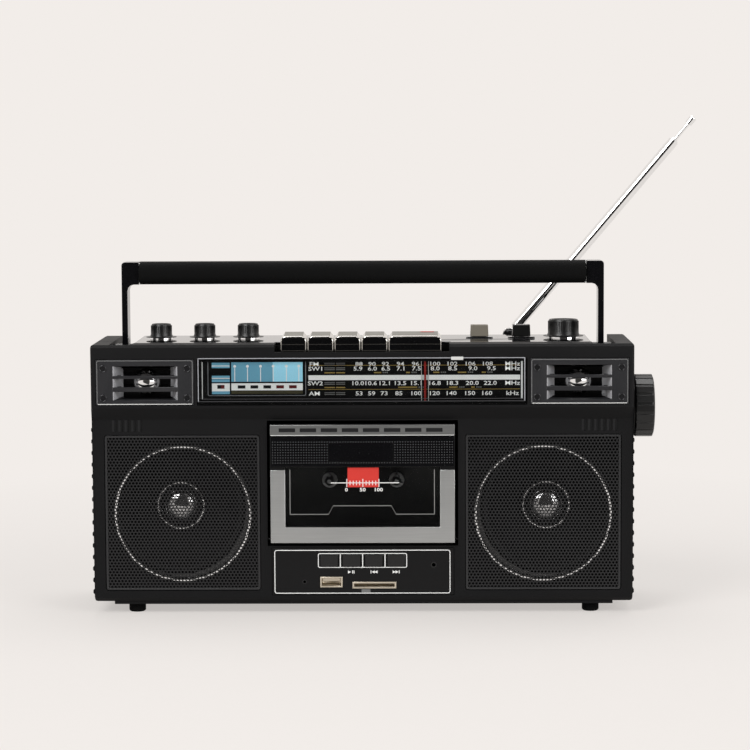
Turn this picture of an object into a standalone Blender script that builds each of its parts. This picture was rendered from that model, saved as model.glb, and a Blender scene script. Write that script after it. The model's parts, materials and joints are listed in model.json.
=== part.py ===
"""A portable stereo radio and cassette player: cabinet, speakers, tuner, deck, controls, handle and aerial.

Metres, +Z up, front towards -Y. The origin is the centre of the small flat pad on the underside.
"""

import math

import bmesh
import bpy
from mathutils import Vector

# Fits
GAP = 0.0003
OVERRUN = 0.002
ROUND_SIDES = 24
FINE_SIDES = 16

# Cabinet
BODY_WIDTH = 0.340
HALF_WIDTH = BODY_WIDTH / 2
BODY_TOP_Z = 0.1658
UPPER_FRONT_Y = -0.045
STEP_DEPTH = 0.006
BODY_DEPTH = 0.0955
PARTING_Y = -0.014
SIDE_ROUND = 0.0032
TOP_ROUND = 0.0016
BASE_CHAMFER = 0.0025
PAD_WIDTH = 0.060
PAD_DEPTH = 0.024
PAD_HEIGHT = 0.0006
PLINTH_TOP_Z = 0.0026
PLINTH_SIDE_INSET = 0.0125
PLINTH_FRONT_INSET = 0.003
FLOOR_Z = 0.005
STEP_LOW_Z = 0.1184
STEP_HIGH_Z = 0.126
WALL = 0.0024
LOWER_FRONT_WALL = 0.005
UPPER_FRONT_WALL = 0.004
STEP_INNER_LOW_Z = 0.119
STEP_INNER_HIGH_Z = 0.125
CEILING = 0.0042
LEDGE_Y = 0.0348
LEDGE_Z = 0.1475
LEDGE_ROUND = 0.002

# Channels that the handle arms fold into
CHANNEL_INNER_INSET = 0.0256
CHANNEL_INNER_X = HALF_WIDTH - CHANNEL_INNER_INSET
CHANNEL_OUTER_INSET = 0.0115
CHANNEL_OUTER_X = HALF_WIDTH - CHANNEL_OUTER_INSET
CHANNEL_FRONT_Y = -0.042
CHANNEL_DEEP_Y = -0.017
CHANNEL_SHALLOW_Z = 0.160

# Top plate
PLATE_FRONT_Y = -0.028
PLATE_THICKNESS = 0.0016
NOTCH_MARGIN = 0.0006

# Cassette keys and their well
KEY_FIRST_X = -0.0509
KEY_PITCH = 0.0169
KEY_GAP = 0.0007
KEY_FRONT_Y = -0.0422
KEY_LENGTH = 0.018
KEY_FRONT_TOP_Z = 0.1708
KEY_REAR_RISE = 0.0015
KEY_SHOULDER_DROP = 0.0026
KEY_SHOULDER = 0.0023
KEY_STEM_WIDTH = 0.006
KEY_STEM_DEPTH = 0.005
KEY_STEM_SETBACK = 0.0087
KEY_STEM_LENGTH = 0.0134
KEY_TRAVEL = 0.0033
WELL_END_MARGIN = 0.0038
WELL_HALF_WIDTH = WELL_END_MARGIN - KEY_FIRST_X
WELL_FRONT_Y = -0.0425
WELL_REAR_Y = -0.0237
WELL_LIP_Z = 0.161

# Speaker grilles, speakers
GRILLE_SIDE_MARGIN = 0.0073
GRILLE_DOOR_MARGIN = 0.0063
GRILLE_Z = 0.05905
GRILLE_HEIGHT = 0.0991
GRILLE_CORNER = 0.002
GRILLE_POCKET = 0.0026
GRILLE_THICKNESS = 0.0015
BAFFLE_SHARE = 0.439471007121
SPEAKER_OFFSET = 0.00255
SPEAKER_Z = 0.0615
FLANGE_SHARE = 0.478128179044
BASKET_OPENING_SHARE = 0.432349949135
BASKET_NECK = 0.027
BASKET_DEPTH = 0.0215
BASKET_WALL = 0.0015
BASKET_STRAIGHT = 0.0025
MAGNET_RADIUS = 0.0235
MAGNET_LENGTH = 0.011
SURROUND_WIDTH = 0.0057
SURROUND_RISE = 0.0018
CONE_WALL = 0.0008
CONE_DEPTH = 0.018
DUST_CAP_RADIUS = 0.0145
DUST_CAP_RISE = 0.005

# Tweeters
TWEETER_WINDOW_MARGIN = 0.0022
TWEETER_SIDE_MARGIN = 0.0034
TWEETER_LOW_Z = 0.1281
TWEETER_HIGH_Z = 0.1566
TWEETER_POCKET = 0.002
HORN_OFFSET = 0.0002
HORN_Z = 0.1418
HORN_MOUTH_SHARE = 0.667752442997
HORN_MOUTH_HEIGHT = 0.0218
HORN_THROAT_SHARE = 0.504885993485
HORN_THROAT_HEIGHT = 0.019
HORN_DEPTH = 0.0132
HORN_WALL = 0.0015
HORN_BACK = 0.0025
LOUVRE_UPPER_Z = 0.1455
LOUVRE_LOWER_Z = 0.1379
LOUVRE_UPPER_HEIGHT = 0.0019
LOUVRE_LOWER_HEIGHT = 0.0028
LOUVRE_DEPTH = 0.002
LOUVRE_SETBACK = 0.0005
TWEETER_DOME_RADIUS = 0.009

# Tuner window, dial and pointer
WINDOW_SHARE = 0.605882352941
WINDOW_LOW_Z = 0.1279
WINDOW_HIGH_Z = 0.1567
WINDOW_THICKNESS = 0.0016
WINDOW_RIM = 0.0018
DIAL_MARGIN = 0.002
DIAL_LOW_Z = 0.1286
DIAL_HIGH_Z = 0.1547
DIAL_THICKNESS = 0.001
DIAL_SETBACK = 0.0014
DIAL_END_WIDTH = 0.002
DIAL_END_INSET_Z = 0.0034
POINTER_X = 0.0389
POINTER_WIDTH = 0.005
POINTER_THICKNESS = 0.0007
POINTER_CLIP_THICKNESS = 0.0008
POINTER_CLIP_HEIGHT = 0.0068
POINTER_CLEARANCE = 0.0004
POINTER_FOOT = 0.0015
TUNING_Y = -0.021
TUNING_Z = 0.1248
TUNING_RADIUS = 0.0194
TUNING_DISC_RADIUS = 0.017
TUNING_DISC_THICKNESS = 0.0012
TUNING_LENGTH = 0.012
TUNING_EDGE = 0.0012
TUNING_DISH_RADIUS = 0.0125
TUNING_DISH_DEPTH = 0.0012
TUNING_SHAFT_RADIUS = 0.003
TUNING_SHAFT_INSIDE = 0.014

# Cassette door and deck
DOOR_WIDTH = 0.1162
DOOR_LOW_Z = 0.0401
DOOR_HIGH_Z = 0.1152
DOOR_PROUD = 0.002
DOOR_THICKNESS = 0.0065
DOOR_SIDE = 0.0091
DOOR_OPENING_HALF_WIDTH = DOOR_WIDTH / 2 - DOOR_SIDE
DOOR_OPENING_LOW_Z = 0.050
DOOR_OPENING_HIGH_Z = 0.0883
DOOR_HINGE_Y = -0.0372
DOOR_HINGE_Z = 0.0423
DOOR_PEG_RADIUS = 0.0008
DOOR_PEG_REACH = 0.0015
BAY_SIDE_CLEARANCE = 0.0019
BAY_HALF_WIDTH = DOOR_WIDTH / 2 + BAY_SIDE_CLEARANCE
BAY_LOW_CLEARANCE = 0.0021
BAY_LOW_Z = DOOR_LOW_Z - BAY_LOW_CLEARANCE
BAY_HIGH_CLEARANCE = 0.0023
BAY_HIGH_Z = DOOR_HIGH_Z + BAY_HIGH_CLEARANCE
RAIL_INSET = 0.0056
RAIL_X = DOOR_WIDTH / 2 - RAIL_INSET
RAIL_WIDTH = 0.002
RAIL_LENGTH = 0.012
RAIL_LOW_Z = 0.0445
RAIL_HIGH_Z = 0.110
SHELF_THICKNESS = 0.0015
TRIM_MARGIN = 0.0003
TRIM_THICKNESS = 0.0007
PANE_THICKNESS = 0.0015
PANE_SETBACK = 0.0005
DECK_WALL = 0.0022
DECK_LIP = 0.0005
DECK_BACK_Y = -0.016
DECK_BACK_THICKNESS = 0.002
SPINDLE_SPACING = 0.0425
SPINDLE_Z = 0.0774
SPINDLE_COLLAR_RADIUS = 0.005
SPINDLE_COLLAR_LENGTH = 0.002
SPINDLE_RADIUS = 0.0028
SPINDLE_LENGTH = 0.0087
SPINDLE_TOOTH_REACH = 0.0043
SPINDLE_TOOTH_WIDTH = 0.0013
SPINDLE_TEETH = 3
SPINDLE_SHAFT_RADIUS = 0.0015
SPINDLE_END_RADIUS = 0.0026
SPINDLE_END_LENGTH = 0.0015
HEAD_WIDTH = 0.013
HEAD_LOW_Z = 0.1035
HEAD_HIGH_Z = 0.1105
HEAD_LENGTH = 0.0115
CAPSTAN_X = 0.0135
CAPSTAN_Z = 0.106
CAPSTAN_RADIUS = 0.0011
CAPSTAN_LENGTH = 0.011
FLYWHEEL_RADIUS = 0.017
FLYWHEEL_THICKNESS = 0.004
FLYWHEEL_HUB_RADIUS = 0.004
FLYWHEEL_HUB_LENGTH = 0.0015
MOTOR_X = -0.035
MOTOR_Z = 0.060
MOTOR_RADIUS = 0.016
MOTOR_LENGTH = 0.024
MOTOR_EDGE = 0.0015

# Player panel below the door
PANEL_HALF_WIDTH = 0.0572
PANEL_LOW_Z = 0.0069
PANEL_HIGH_Z = 0.0365
PANEL_PROUD = 0.0003
PANEL_THICKNESS = 0.002
PANEL_LEDGE = 0.002
BUTTON_CENTRE_X = -0.0002
BUTTON_PITCH = 0.0141
BUTTON_Z = 0.02885
BUTTON_WIDTH = 0.0112
BUTTON_HEIGHT = 0.0078
BUTTON_PROUD = 0.001
BUTTON_DEPTH = 0.0037
BUTTON_STEM_RADIUS = 0.002
BUTTON_TRAVEL = 0.001
BOARD_FRONT_Y = -0.024
BOARD_THICKNESS = 0.0016
BOARD_HALF_WIDTH = 0.056
BOARD_LOW_Z = 0.0085
BOARD_HIGH_Z = 0.035
PORT_PROUD = 0.0003
USB_X = -0.020
USB_Z = 0.015
USB_WIDTH = 0.0141
USB_HEIGHT = 0.0067
USB_WALL = 0.0009
USB_CAVITY_DEPTH = 0.011
USB_TONGUE_MARGIN = 0.0006
USB_TONGUE_THICKNESS = 0.0018
USB_TONGUE_SETBACK = 0.0022
USB_TONGUE_RAISE = 0.0012
CARD_X = 0.0071
CARD_Z = 0.013
CARD_WIDTH = 0.0276
CARD_HEIGHT = 0.0042
CARD_WALL = 0.001
CARD_CAVITY_DEPTH = 0.012
LAMP_X = -0.0369
LAMP_Z = 0.0152
LAMP_RADIUS = 0.0009
MIC_X = 0.0446
MIC_Z = 0.0259
MIC_RADIUS = 0.0012

# Knobs and slides on the top
CONTROL_Y = 0.005
SMALL_KNOB_FIRST_SHARE = 0.382058823529
SMALL_KNOB_PITCH_SHARE = 0.082264705882
SMALL_KNOB_RADIUS = 0.0065
SMALL_KNOB_HEIGHT = 0.0099
BAND_KNOB_SHARE = 0.377647058824
BAND_KNOB_RADIUS = 0.0096
BAND_KNOB_HEIGHT = 0.0119
KNOB_FLARE = 0.0011
KNOB_FLANGE_REACH = 0.0033
KNOB_FLANGE_THICKNESS = 0.0005
KNOB_RING_INSET = 0.0005
KNOB_RING_HEIGHT = 0.0011
KNOB_FLARE_HEIGHT = 0.0022
KNOB_EDGE = 0.0006
KNOB_DISH_DEPTH = 0.0007
KNOB_DISH_MARGIN = 0.0014
KNOB_SHAFT_RADIUS = 0.003
KNOB_SHAFT_LENGTH = 0.010
FUNCTION_SLIDE_SHARE = 0.219117647059
MODE_SLIDE_SHARE = 0.298235294118
SLIDE_WIDTH = 0.0116
SLIDE_DEPTH = 0.008
SLIDE_HEIGHT = 0.0072
SLIDE_TAPER = 0.0003
SLIDE_BASE_WIDTH = 0.017
SLIDE_BASE_DEPTH = 0.010
SLIDE_BASE_HEIGHT = 0.0011
SLIDE_STEM_WIDTH = 0.003
SLIDE_STEM_DEPTH = 0.002
SLIDE_STEM_LENGTH = 0.010
SLIDE_TRAVEL = 0.0027

# Carrying handle
HANDLE_PIVOT_Y = -0.008
HANDLE_PIVOT_Z = 0.158
GRIP_END_INSET = 0.0114
GRIP_HEIGHT = 0.0142
GRIP_DEPTH = 0.020
GRIP_CORNER = 0.0055
GRIP_CENTRE_Z = 0.2091
ARM_INSET = 0.0171
ARM_OUTER_X = HALF_WIDTH - ARM_INSET
GRIP_HALF_LENGTH = ARM_OUTER_X - GRIP_END_INSET
ARM_THICKNESS = 0.0037
ARM_DEPTH = 0.015
ARM_FILLET = 0.004
ARM_CORNER = 0.002
ARM_BOSS_RADIUS = 0.006
ARM_PIN_RADIUS = 0.002
ARM_PIN_REACH = 0.002
PEG_RADIUS = 0.003
PEG_LENGTH = 0.008

# Telescopic aerial
AERIAL_SHARE = 0.281176470588
AERIAL_X = BODY_WIDTH * AERIAL_SHARE
AERIAL_Y = 0.057
AERIAL_Z = 0.164
AERIAL_LEAN = math.radians(49.7)
AERIAL_RADIUS = 0.0034
AERIAL_WALL = 0.0004
AERIAL_START = 0.006
AERIAL_BORE_START = 0.009
AERIAL_END = 0.167
AERIAL_STEP = 0.0008
TIP_REACH = 0.0145
TIP_PUSH = 0.0125
TIP_CAP_RADIUS = 0.0024
TIP_CAP_LENGTH = 0.0055
TIP_CAP_EDGE = 0.0006
TONGUE_RADIUS = 0.0042
TONGUE_THICKNESS = 0.0036
TONGUE_LENGTH = 0.0075
EAR_RADIUS = 0.0045
EAR_THICKNESS = 0.0018
TILT_PIN_RADIUS = 0.0015
FORK_FLOOR_Z = 0.153
COLLAR_RADIUS = 0.006
COLLAR_LOW_Z = 0.1463
COLLAR_HIGH_Z = 0.151
SWIVEL_PIN_RADIUS = 0.0025
LUG_WIDTH = 0.016
LUG_REAR_Y = 0.064
LUG_LOW_Z = 0.140

# Feet
FOOT_INSET = 0.026
FOOT_X = HALF_WIDTH - FOOT_INSET
FOOT_FRONT_Y = -0.027
FOOT_REAR_Y = 0.038
FOOT_RADIUS = 0.00535
FOOT_HEIGHT = 0.0055
FOOT_EDGE = 0.0008
FOOT_STEM_RADIUS = 0.0018
FOOT_STEM_HEIGHT = 0.0028

# Battery bay, mains inlet and transformer
BATTERY_HALF_WIDTH = 0.066
BATTERY_LOW_Z = 0.012
BATTERY_HIGH_Z = 0.081
BATTERY_FRONT_Y = 0.012
BATTERY_WALL = 0.0016
BATTERY_DOOR_MARGIN = 0.004
BATTERY_DOOR_THICKNESS = 0.0015
INLET_INSET = 0.038
INLET_X = INLET_INSET - HALF_WIDTH
INLET_Z = 0.060
INLET_WIDTH = 0.020
INLET_HEIGHT = 0.010
INLET_DEPTH = 0.014
INLET_FLANGE_REACH = 0.003
INLET_FLANGE_THICKNESS = 0.0015
INLET_WALL = 0.0018
INLET_SOCKET_DEPTH = 0.010
TRANSFORMER_INSET = 0.035
TRANSFORMER_X = TRANSFORMER_INSET - HALF_WIDTH
TRANSFORMER_Y = 0.027
TRANSFORMER_WIDTH = 0.040
TRANSFORMER_DEPTH = 0.018
TRANSFORMER_HEIGHT = 0.034
COIL_WIDTH = 0.024
COIL_DEPTH = 0.030
COIL_HEIGHT = 0.024

# Places that follow from the sizes above
GRILLE_OUTER_X = HALF_WIDTH - GRILLE_SIDE_MARGIN
GRILLE_INNER_X = DOOR_WIDTH / 2 + GRILLE_DOOR_MARGIN
GRILLE_X = (GRILLE_OUTER_X + GRILLE_INNER_X) / 2
GRILLE_WIDTH = GRILLE_OUTER_X - GRILLE_INNER_X
SPEAKER_SPACE = min(GRILLE_WIDTH, GRILLE_HEIGHT)
BAFFLE_RADIUS = SPEAKER_SPACE * BAFFLE_SHARE
FLANGE_RADIUS = SPEAKER_SPACE * FLANGE_SHARE
BASKET_OPENING = SPEAKER_SPACE * BASKET_OPENING_SHARE
SPEAKER_X = GRILLE_X + SPEAKER_OFFSET
WINDOW_WIDTH = BODY_WIDTH * WINDOW_SHARE
DIAL_WIDTH = WINDOW_WIDTH + DIAL_MARGIN
TWEETER_INNER_X = WINDOW_WIDTH / 2 + TWEETER_WINDOW_MARGIN
TWEETER_OUTER_X = HALF_WIDTH - TWEETER_SIDE_MARGIN
TWEETER_WIDTH = TWEETER_OUTER_X - TWEETER_INNER_X
HORN_X = (TWEETER_OUTER_X + TWEETER_INNER_X) / 2 - HORN_OFFSET
HORN_MOUTH_WIDTH = TWEETER_WIDTH * HORN_MOUTH_SHARE
HORN_THROAT_WIDTH = TWEETER_WIDTH * HORN_THROAT_SHARE
SMALL_KNOB_FIRST_X = -BODY_WIDTH * SMALL_KNOB_FIRST_SHARE
SMALL_KNOB_PITCH = BODY_WIDTH * SMALL_KNOB_PITCH_SHARE
BAND_KNOB_X = BODY_WIDTH * BAND_KNOB_SHARE
FUNCTION_SLIDE_X = BODY_WIDTH * FUNCTION_SLIDE_SHARE
MODE_SLIDE_X = BODY_WIDTH * MODE_SLIDE_SHARE
LOWER_FRONT_Y = UPPER_FRONT_Y + STEP_DEPTH
REAR_Y = UPPER_FRONT_Y + BODY_DEPTH
INNER_LOWER_Y = LOWER_FRONT_Y + LOWER_FRONT_WALL
INNER_UPPER_Y = UPPER_FRONT_Y + UPPER_FRONT_WALL
INNER_REAR_Y = REAR_Y - WALL
INNER_X = HALF_WIDTH - WALL
CHEST_TOP_Z = LEDGE_Z - WALL
CEILING_Z = BODY_TOP_Z - CEILING
PLATE_POCKET_Z = BODY_TOP_Z - PLATE_THICKNESS - GAP
FRONT_END_Y = PARTING_Y - GAP / 2
REAR_START_Y = PARTING_Y + GAP / 2
KEY_BOTTOM_Z = WELL_LIP_Z
WELL_FLOOR_Z = WELL_LIP_Z - KEY_TRAVEL - GAP
WELL_UNDER_Z = WELL_FLOOR_Z - WALL
KEY_STEM_Y = KEY_FRONT_Y + KEY_STEM_SETBACK
SMALL_KNOB_NAMES = ("knob_volume", "knob_tone", "knob_balance")
SLIDE_X = {"slide_function": FUNCTION_SLIDE_X, "slide_mode": MODE_SLIDE_X}
KEY_NAMES = ("key_pause", "key_stop_eject", "key_fast_forward", "key_rewind", "key_play_record")
BUTTON_NAMES = ("button_mode", "button_play", "button_back", "button_next")
DECK_FRONT_Y = INNER_LOWER_Y + GAP
DECK_BACK_FRONT_Y = DECK_BACK_Y - DECK_BACK_THICKNESS
DOOR_FRONT_Y = LOWER_FRONT_Y - DOOR_PROUD
DOOR_BACK_Y = DOOR_FRONT_Y + DOOR_THICKNESS
PANEL_FRONT_Y = LOWER_FRONT_Y - PANEL_PROUD
BUTTON_BACK_Y = PANEL_FRONT_Y - BUTTON_PROUD + BUTTON_DEPTH
BUTTON_STEM_LENGTH = BOARD_FRONT_Y - BUTTON_BACK_Y - BUTTON_TRAVEL - GAP
POINTER_FRONT_Y = INNER_UPPER_Y + GAP
DIAL_FRONT_Y = INNER_UPPER_Y + DIAL_SETBACK
LUG_TOP_Z = COLLAR_LOW_Z - GAP
SIDES = {"left": -1, "right": 1}

# Finishes: colour as seen, roughness, metallic
BLACK_PLASTIC = ((0.16, 0.16, 0.16), 0.45, 0.0)
GLOSS_BLACK = ((0.07, 0.07, 0.075), 0.12, 0.0)
SOFT_BLACK = ((0.08, 0.08, 0.08), 0.7, 0.0)
DARK_METAL = ((0.16, 0.16, 0.165), 0.4, 0.6)
GREY_PLASTIC = ((0.28, 0.28, 0.28), 0.5, 0.0)
SILVER = ((0.66, 0.66, 0.66), 0.35, 0.8)
CHROME = ((0.8, 0.8, 0.8), 0.08, 1.0)
BRASS = ((0.62, 0.57, 0.48), 0.3, 1.0)
PAPER = ((0.04, 0.05, 0.05), 0.5, 0.0)
CLEAR = ((0.85, 0.88, 0.9), 0.05, 0.0)
RED = ((0.74, 0.2, 0.14), 0.4, 0.0)
SLIDE_GREY = ((0.43, 0.41, 0.36), 0.45, 0.0)
BOARD_GREEN = ((0.1, 0.3, 0.18), 0.5, 0.0)
COPPER = ((0.6, 0.36, 0.22), 0.4, 0.8)


def clear_scene():
    for leftover in list(bpy.data.objects):
        bpy.data.objects.remove(leftover)


def linear(channel):
    """The linear value of a colour channel given as it looks on a screen."""
    return channel / 12.92 if channel <= 0.04045 else ((channel + 0.055) / 1.055) ** 2.4


def finish_of(name, finish):
    colour, roughness, metallic = finish
    material = bpy.data.materials.new(name)
    material.use_nodes = True
    shader = material.node_tree.nodes["Principled BSDF"]
    shader.inputs["Base Color"].default_value = (*map(linear, colour), 1)
    shader.inputs["Roughness"].default_value = roughness
    shader.inputs["Metallic"].default_value = metallic
    return material


def around(centre, size):
    """The low and high ends of a size laid evenly about its centre."""
    return centre - size / 2, centre + size / 2


def on_side(side, inner, outer):
    """The low and high X of a stretch that lies between two distances from the middle, on one side."""
    return tuple(sorted((side * inner, side * outer)))


def prism(outline, axis, span):
    """A flat outline drawn out along an axis. Its points are the two other coordinates, in XYZ order."""
    shape = bmesh.new()
    places = {
        "X": lambda point, along: (along, point[0], point[1]),
        "Y": lambda point, along: (point[0], along, point[1]),
        "Z": lambda point, along: (point[0], point[1], along),
    }
    loops = [[shape.verts.new(places[axis](point, along)) for point in outline] for along in span]
    close_between(shape, loops)
    return shape


def close_between(shape, loops):
    """Sides between two loops of as many corners, and a face across each."""
    first, second = loops
    count = len(first)
    for i in range(count):
        j = (i + 1) % count
        shape.faces.new((first[i], first[j], second[j], second[i]))
    shape.faces.new(first)
    shape.faces.new(second)


def loft(first_points, second_points):
    """A solid between two outlines in space that have as many corners."""
    shape = bmesh.new()
    loops = [[shape.verts.new(point) for point in points] for points in (first_points, second_points)]
    close_between(shape, loops)
    return shape


def box(x, y, z):
    corners = ((x[0], y[0]), (x[1], y[0]), (x[1], y[1]), (x[0], y[1]))
    return prism(corners, "Z", z)


def rounded(u, v, radius, steps=3):
    """A rectangle with round corners, as an outline."""
    points = []
    corners = ((u[1], v[1]), (u[0], v[1]), (u[0], v[0]), (u[1], v[0]))
    for quarter, (corner_u, corner_v) in enumerate(corners):
        centre_u = corner_u - math.copysign(radius, corner_u - sum(u) / 2)
        centre_v = corner_v - math.copysign(radius, corner_v - sum(v) / 2)
        for step in range(steps + 1):
            angle = math.radians(90) * (quarter + step / steps)
            points.append((centre_u + radius * math.cos(angle), centre_v + radius * math.sin(angle)))
    return points


def turned(profile, axis, centre, sides=ROUND_SIDES, ring=False):
    """A profile of (radius, height) turned about an axis. It starts and ends on the axis, or is a closed ring."""
    shape = bmesh.new()
    middle = Vector(centre)
    places = {
        "X": lambda radius, height, angle: (height, radius * math.cos(angle), radius * math.sin(angle)),
        "Y": lambda radius, height, angle: (radius * math.cos(angle), height, radius * math.sin(angle)),
        "Z": lambda radius, height, angle: (radius * math.cos(angle), radius * math.sin(angle), height),
    }
    loops = []
    for radius, height in profile:
        count = 1 if radius == 0 else sides
        loops.append([
            shape.verts.new(middle + Vector(places[axis](radius, height, math.tau * i / sides)))
            for i in range(count)
        ])
    pairs = list(zip(loops, loops[1:]))
    if ring:
        pairs.append((loops[-1], loops[0]))
    for low, high in pairs:
        for i in range(sides):
            j = (i + 1) % sides
            corners = [low[i % len(low)], low[j % len(low)], high[j % len(high)], high[i % len(high)]]
            shape.faces.new(list(dict.fromkeys(corners)))
    return shape


def rod(radius, axis, centre, span, sides=ROUND_SIDES):
    """A round bar. The span lies along the axis and is counted from the centre."""
    return turned(((0, span[0]), (radius, span[0]), (radius, span[1]), (0, span[1])), axis, centre, sides)


def together(*shapes):
    """Several shapes that don't touch, as one."""
    result = bmesh.new()
    for shape in shapes:
        carrier = bpy.data.meshes.new("carrier")
        shape.to_mesh(carrier)
        shape.free()
        result.from_mesh(carrier)
        bpy.data.meshes.remove(carrier)
    return result


def mesh_of(name, shape):
    bmesh.ops.recalc_face_normals(shape, faces=shape.faces)
    mesh = bpy.data.meshes.new(name)
    shape.to_mesh(mesh)
    shape.free()
    return mesh


def piece(name, shape, finish, steps=(), origin=(0, 0, 0)):
    """One named solid. Each step joins a shape to it or cuts one from it, in order. Its origin is set last."""
    made = bpy.data.objects.new(name, mesh_of(name, shape))
    bpy.context.scene.collection.objects.link(made)
    made.data.materials.append(finish_of(name, finish))
    made.data.shade_smooth()
    made.data.set_sharp_from_angle(angle=math.radians(30))
    made.data.transform(made.matrix_world.Translation(-Vector(origin)))
    made.location = origin
    for operation, tool_shape in steps:
        tool = bpy.data.objects.new(f"{name}_{operation}", mesh_of(name, tool_shape))
        bpy.context.scene.collection.objects.link(tool)
        tool.hide_render = True
        tool.display_type = "WIRE"
        modifier = made.modifiers.new(operation, "BOOLEAN")
        modifier.operation = {"join": "UNION", "cut": "DIFFERENCE"}[operation]
        modifier.object = tool
    return made


def carrier(name, place, pieces):
    """An empty on a joint's axis, with the pieces that turn or slide with it as its children."""
    empty = bpy.data.objects.new(name, None)
    bpy.context.scene.collection.objects.link(empty)
    empty.location = place
    for held in pieces:
        held.parent = empty
        held.location = held.location - empty.location
    return empty


def bevelled_sides(shape, seam_y):
    """Rounds the edges that run round both ends of the cabinet, but not those on its seam."""
    edges = [
        edge
        for edge in shape.edges
        if all(abs(abs(corner.co.x) - HALF_WIDTH) < GAP for corner in edge.verts)
        and edge.verts[0].co.x * edge.verts[1].co.x > 0
        and not all(abs(corner.co.y - seam_y) < GAP for corner in edge.verts)
    ]
    bmesh.ops.bevel(shape, geom=edges, offset=SIDE_ROUND / 2, segments=2, profile=0.5, affect="EDGES")
    return shape


def channels(front_y, rear_y, floor_z):
    """The two slots that the handle arms lie in."""
    return together(*(
        box(
            on_side(side, CHANNEL_INNER_X, CHANNEL_OUTER_X),
            (front_y, rear_y),
            (floor_z, BODY_TOP_Z + OVERRUN),
        )
        for side in SIDES.values()
    ))


def plate_pocket(front_y, rear_y):
    """The shallow seat of the top plate, open to both channels."""
    return box(
        around(0, 2 * CHANNEL_INNER_X + OVERRUN),
        (front_y, rear_y),
        (PLATE_POCKET_Z, BODY_TOP_Z + OVERRUN),
    )


def foot_holes(y):
    depth = FOOT_STEM_HEIGHT + GAP
    return together(*(
        rod(FOOT_STEM_RADIUS + GAP, "Z", (side * FOOT_X, y, PAD_HEIGHT), (-OVERRUN, depth), FINE_SIDES)
        for side in SIDES.values()
    ))


def key_span(index):
    """The low and high X of a key. The last key is two keys wide."""
    low = KEY_FIRST_X + index * KEY_PITCH
    columns = 2 if index == len(KEY_NAMES) - 1 else 1
    return low, low + columns * KEY_PITCH - KEY_GAP


def key_stem(index, margin, z):
    return box(
        around(sum(key_span(index)) / 2, KEY_STEM_WIDTH + 2 * margin),
        around(KEY_STEM_Y + KEY_STEM_DEPTH / 2, KEY_STEM_DEPTH + 2 * margin),
        z,
    )


def front_outline():
    return (
        (FRONT_END_Y, PLINTH_TOP_Z),
        (LOWER_FRONT_Y + BASE_CHAMFER, PLINTH_TOP_Z),
        (LOWER_FRONT_Y, PLINTH_TOP_Z + BASE_CHAMFER),
        (LOWER_FRONT_Y, STEP_LOW_Z),
        (UPPER_FRONT_Y, STEP_HIGH_Z),
        (UPPER_FRONT_Y, BODY_TOP_Z - TOP_ROUND),
        (UPPER_FRONT_Y + TOP_ROUND, BODY_TOP_Z),
        (FRONT_END_Y, BODY_TOP_Z),
    )


def front_cavities():
    """The hollow behind the front: a full-width chest, the space over it, and the space between the channels."""
    seam = FRONT_END_Y + OVERRUN
    chest = (
        (seam, FLOOR_Z),
        (INNER_LOWER_Y, FLOOR_Z),
        (INNER_LOWER_Y, STEP_INNER_LOW_Z),
        (INNER_UPPER_Y, STEP_INNER_HIGH_Z),
        (INNER_UPPER_Y, CHEST_TOP_Z),
        (seam, CHEST_TOP_Z),
    )
    over_chest = (CHEST_TOP_Z - OVERRUN, CHANNEL_SHALLOW_Z - WALL)
    between = (CHEST_TOP_Z - OVERRUN, CEILING_Z)
    return (
        prism(chest, "X", (-INNER_X, INNER_X)),
        box((-INNER_X, INNER_X), (INNER_UPPER_Y, CHANNEL_DEEP_Y - WALL), over_chest),
        box(around(0, 2 * (CHANNEL_INNER_X - WALL)), (INNER_UPPER_Y, seam), between),
    )


def well_shapes():
    """The tub that the keys stand in, the space inside it, its open front and the slots for the key stems."""
    tub = box(
        around(0, 2 * (WELL_HALF_WIDTH + WALL)),
        (INNER_UPPER_Y - GAP, WELL_REAR_Y + WALL),
        (WELL_UNDER_Z, CEILING_Z + GAP),
    )
    well = (-WELL_HALF_WIDTH, WELL_HALF_WIDTH)
    inside = box(well, (WELL_FRONT_Y, WELL_REAR_Y), (WELL_FLOOR_Z, BODY_TOP_Z + OVERRUN))
    mouth = box(well, (UPPER_FRONT_Y - OVERRUN, WELL_FRONT_Y + GAP), (WELL_LIP_Z, BODY_TOP_Z + OVERRUN))
    slots = together(*(
        key_stem(index, GAP, (WELL_UNDER_Z - OVERRUN, WELL_FLOOR_Z + OVERRUN))
        for index in range(len(KEY_NAMES))
    ))
    return tub, inside, mouth, slots


def grille_openings():
    """The pockets that the grilles lie in, and the round holes in front of the cones."""
    pockets = []
    holes = []
    pocket_y = LOWER_FRONT_Y + GRILLE_POCKET
    for side in SIDES.values():
        outline = rounded(
            around(side * GRILLE_X, GRILLE_WIDTH), around(GRILLE_Z, GRILLE_HEIGHT), GRILLE_CORNER
        )
        pockets.append(prism(outline, "Y", (LOWER_FRONT_Y - OVERRUN, pocket_y)))
        through = (-GRILLE_POCKET, LOWER_FRONT_WALL)
        holes.append(rod(BAFFLE_RADIUS, "Y", (side * GRILLE_X, LOWER_FRONT_Y, GRILLE_Z), through, 40))
    return together(*pockets), together(*holes)


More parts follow.
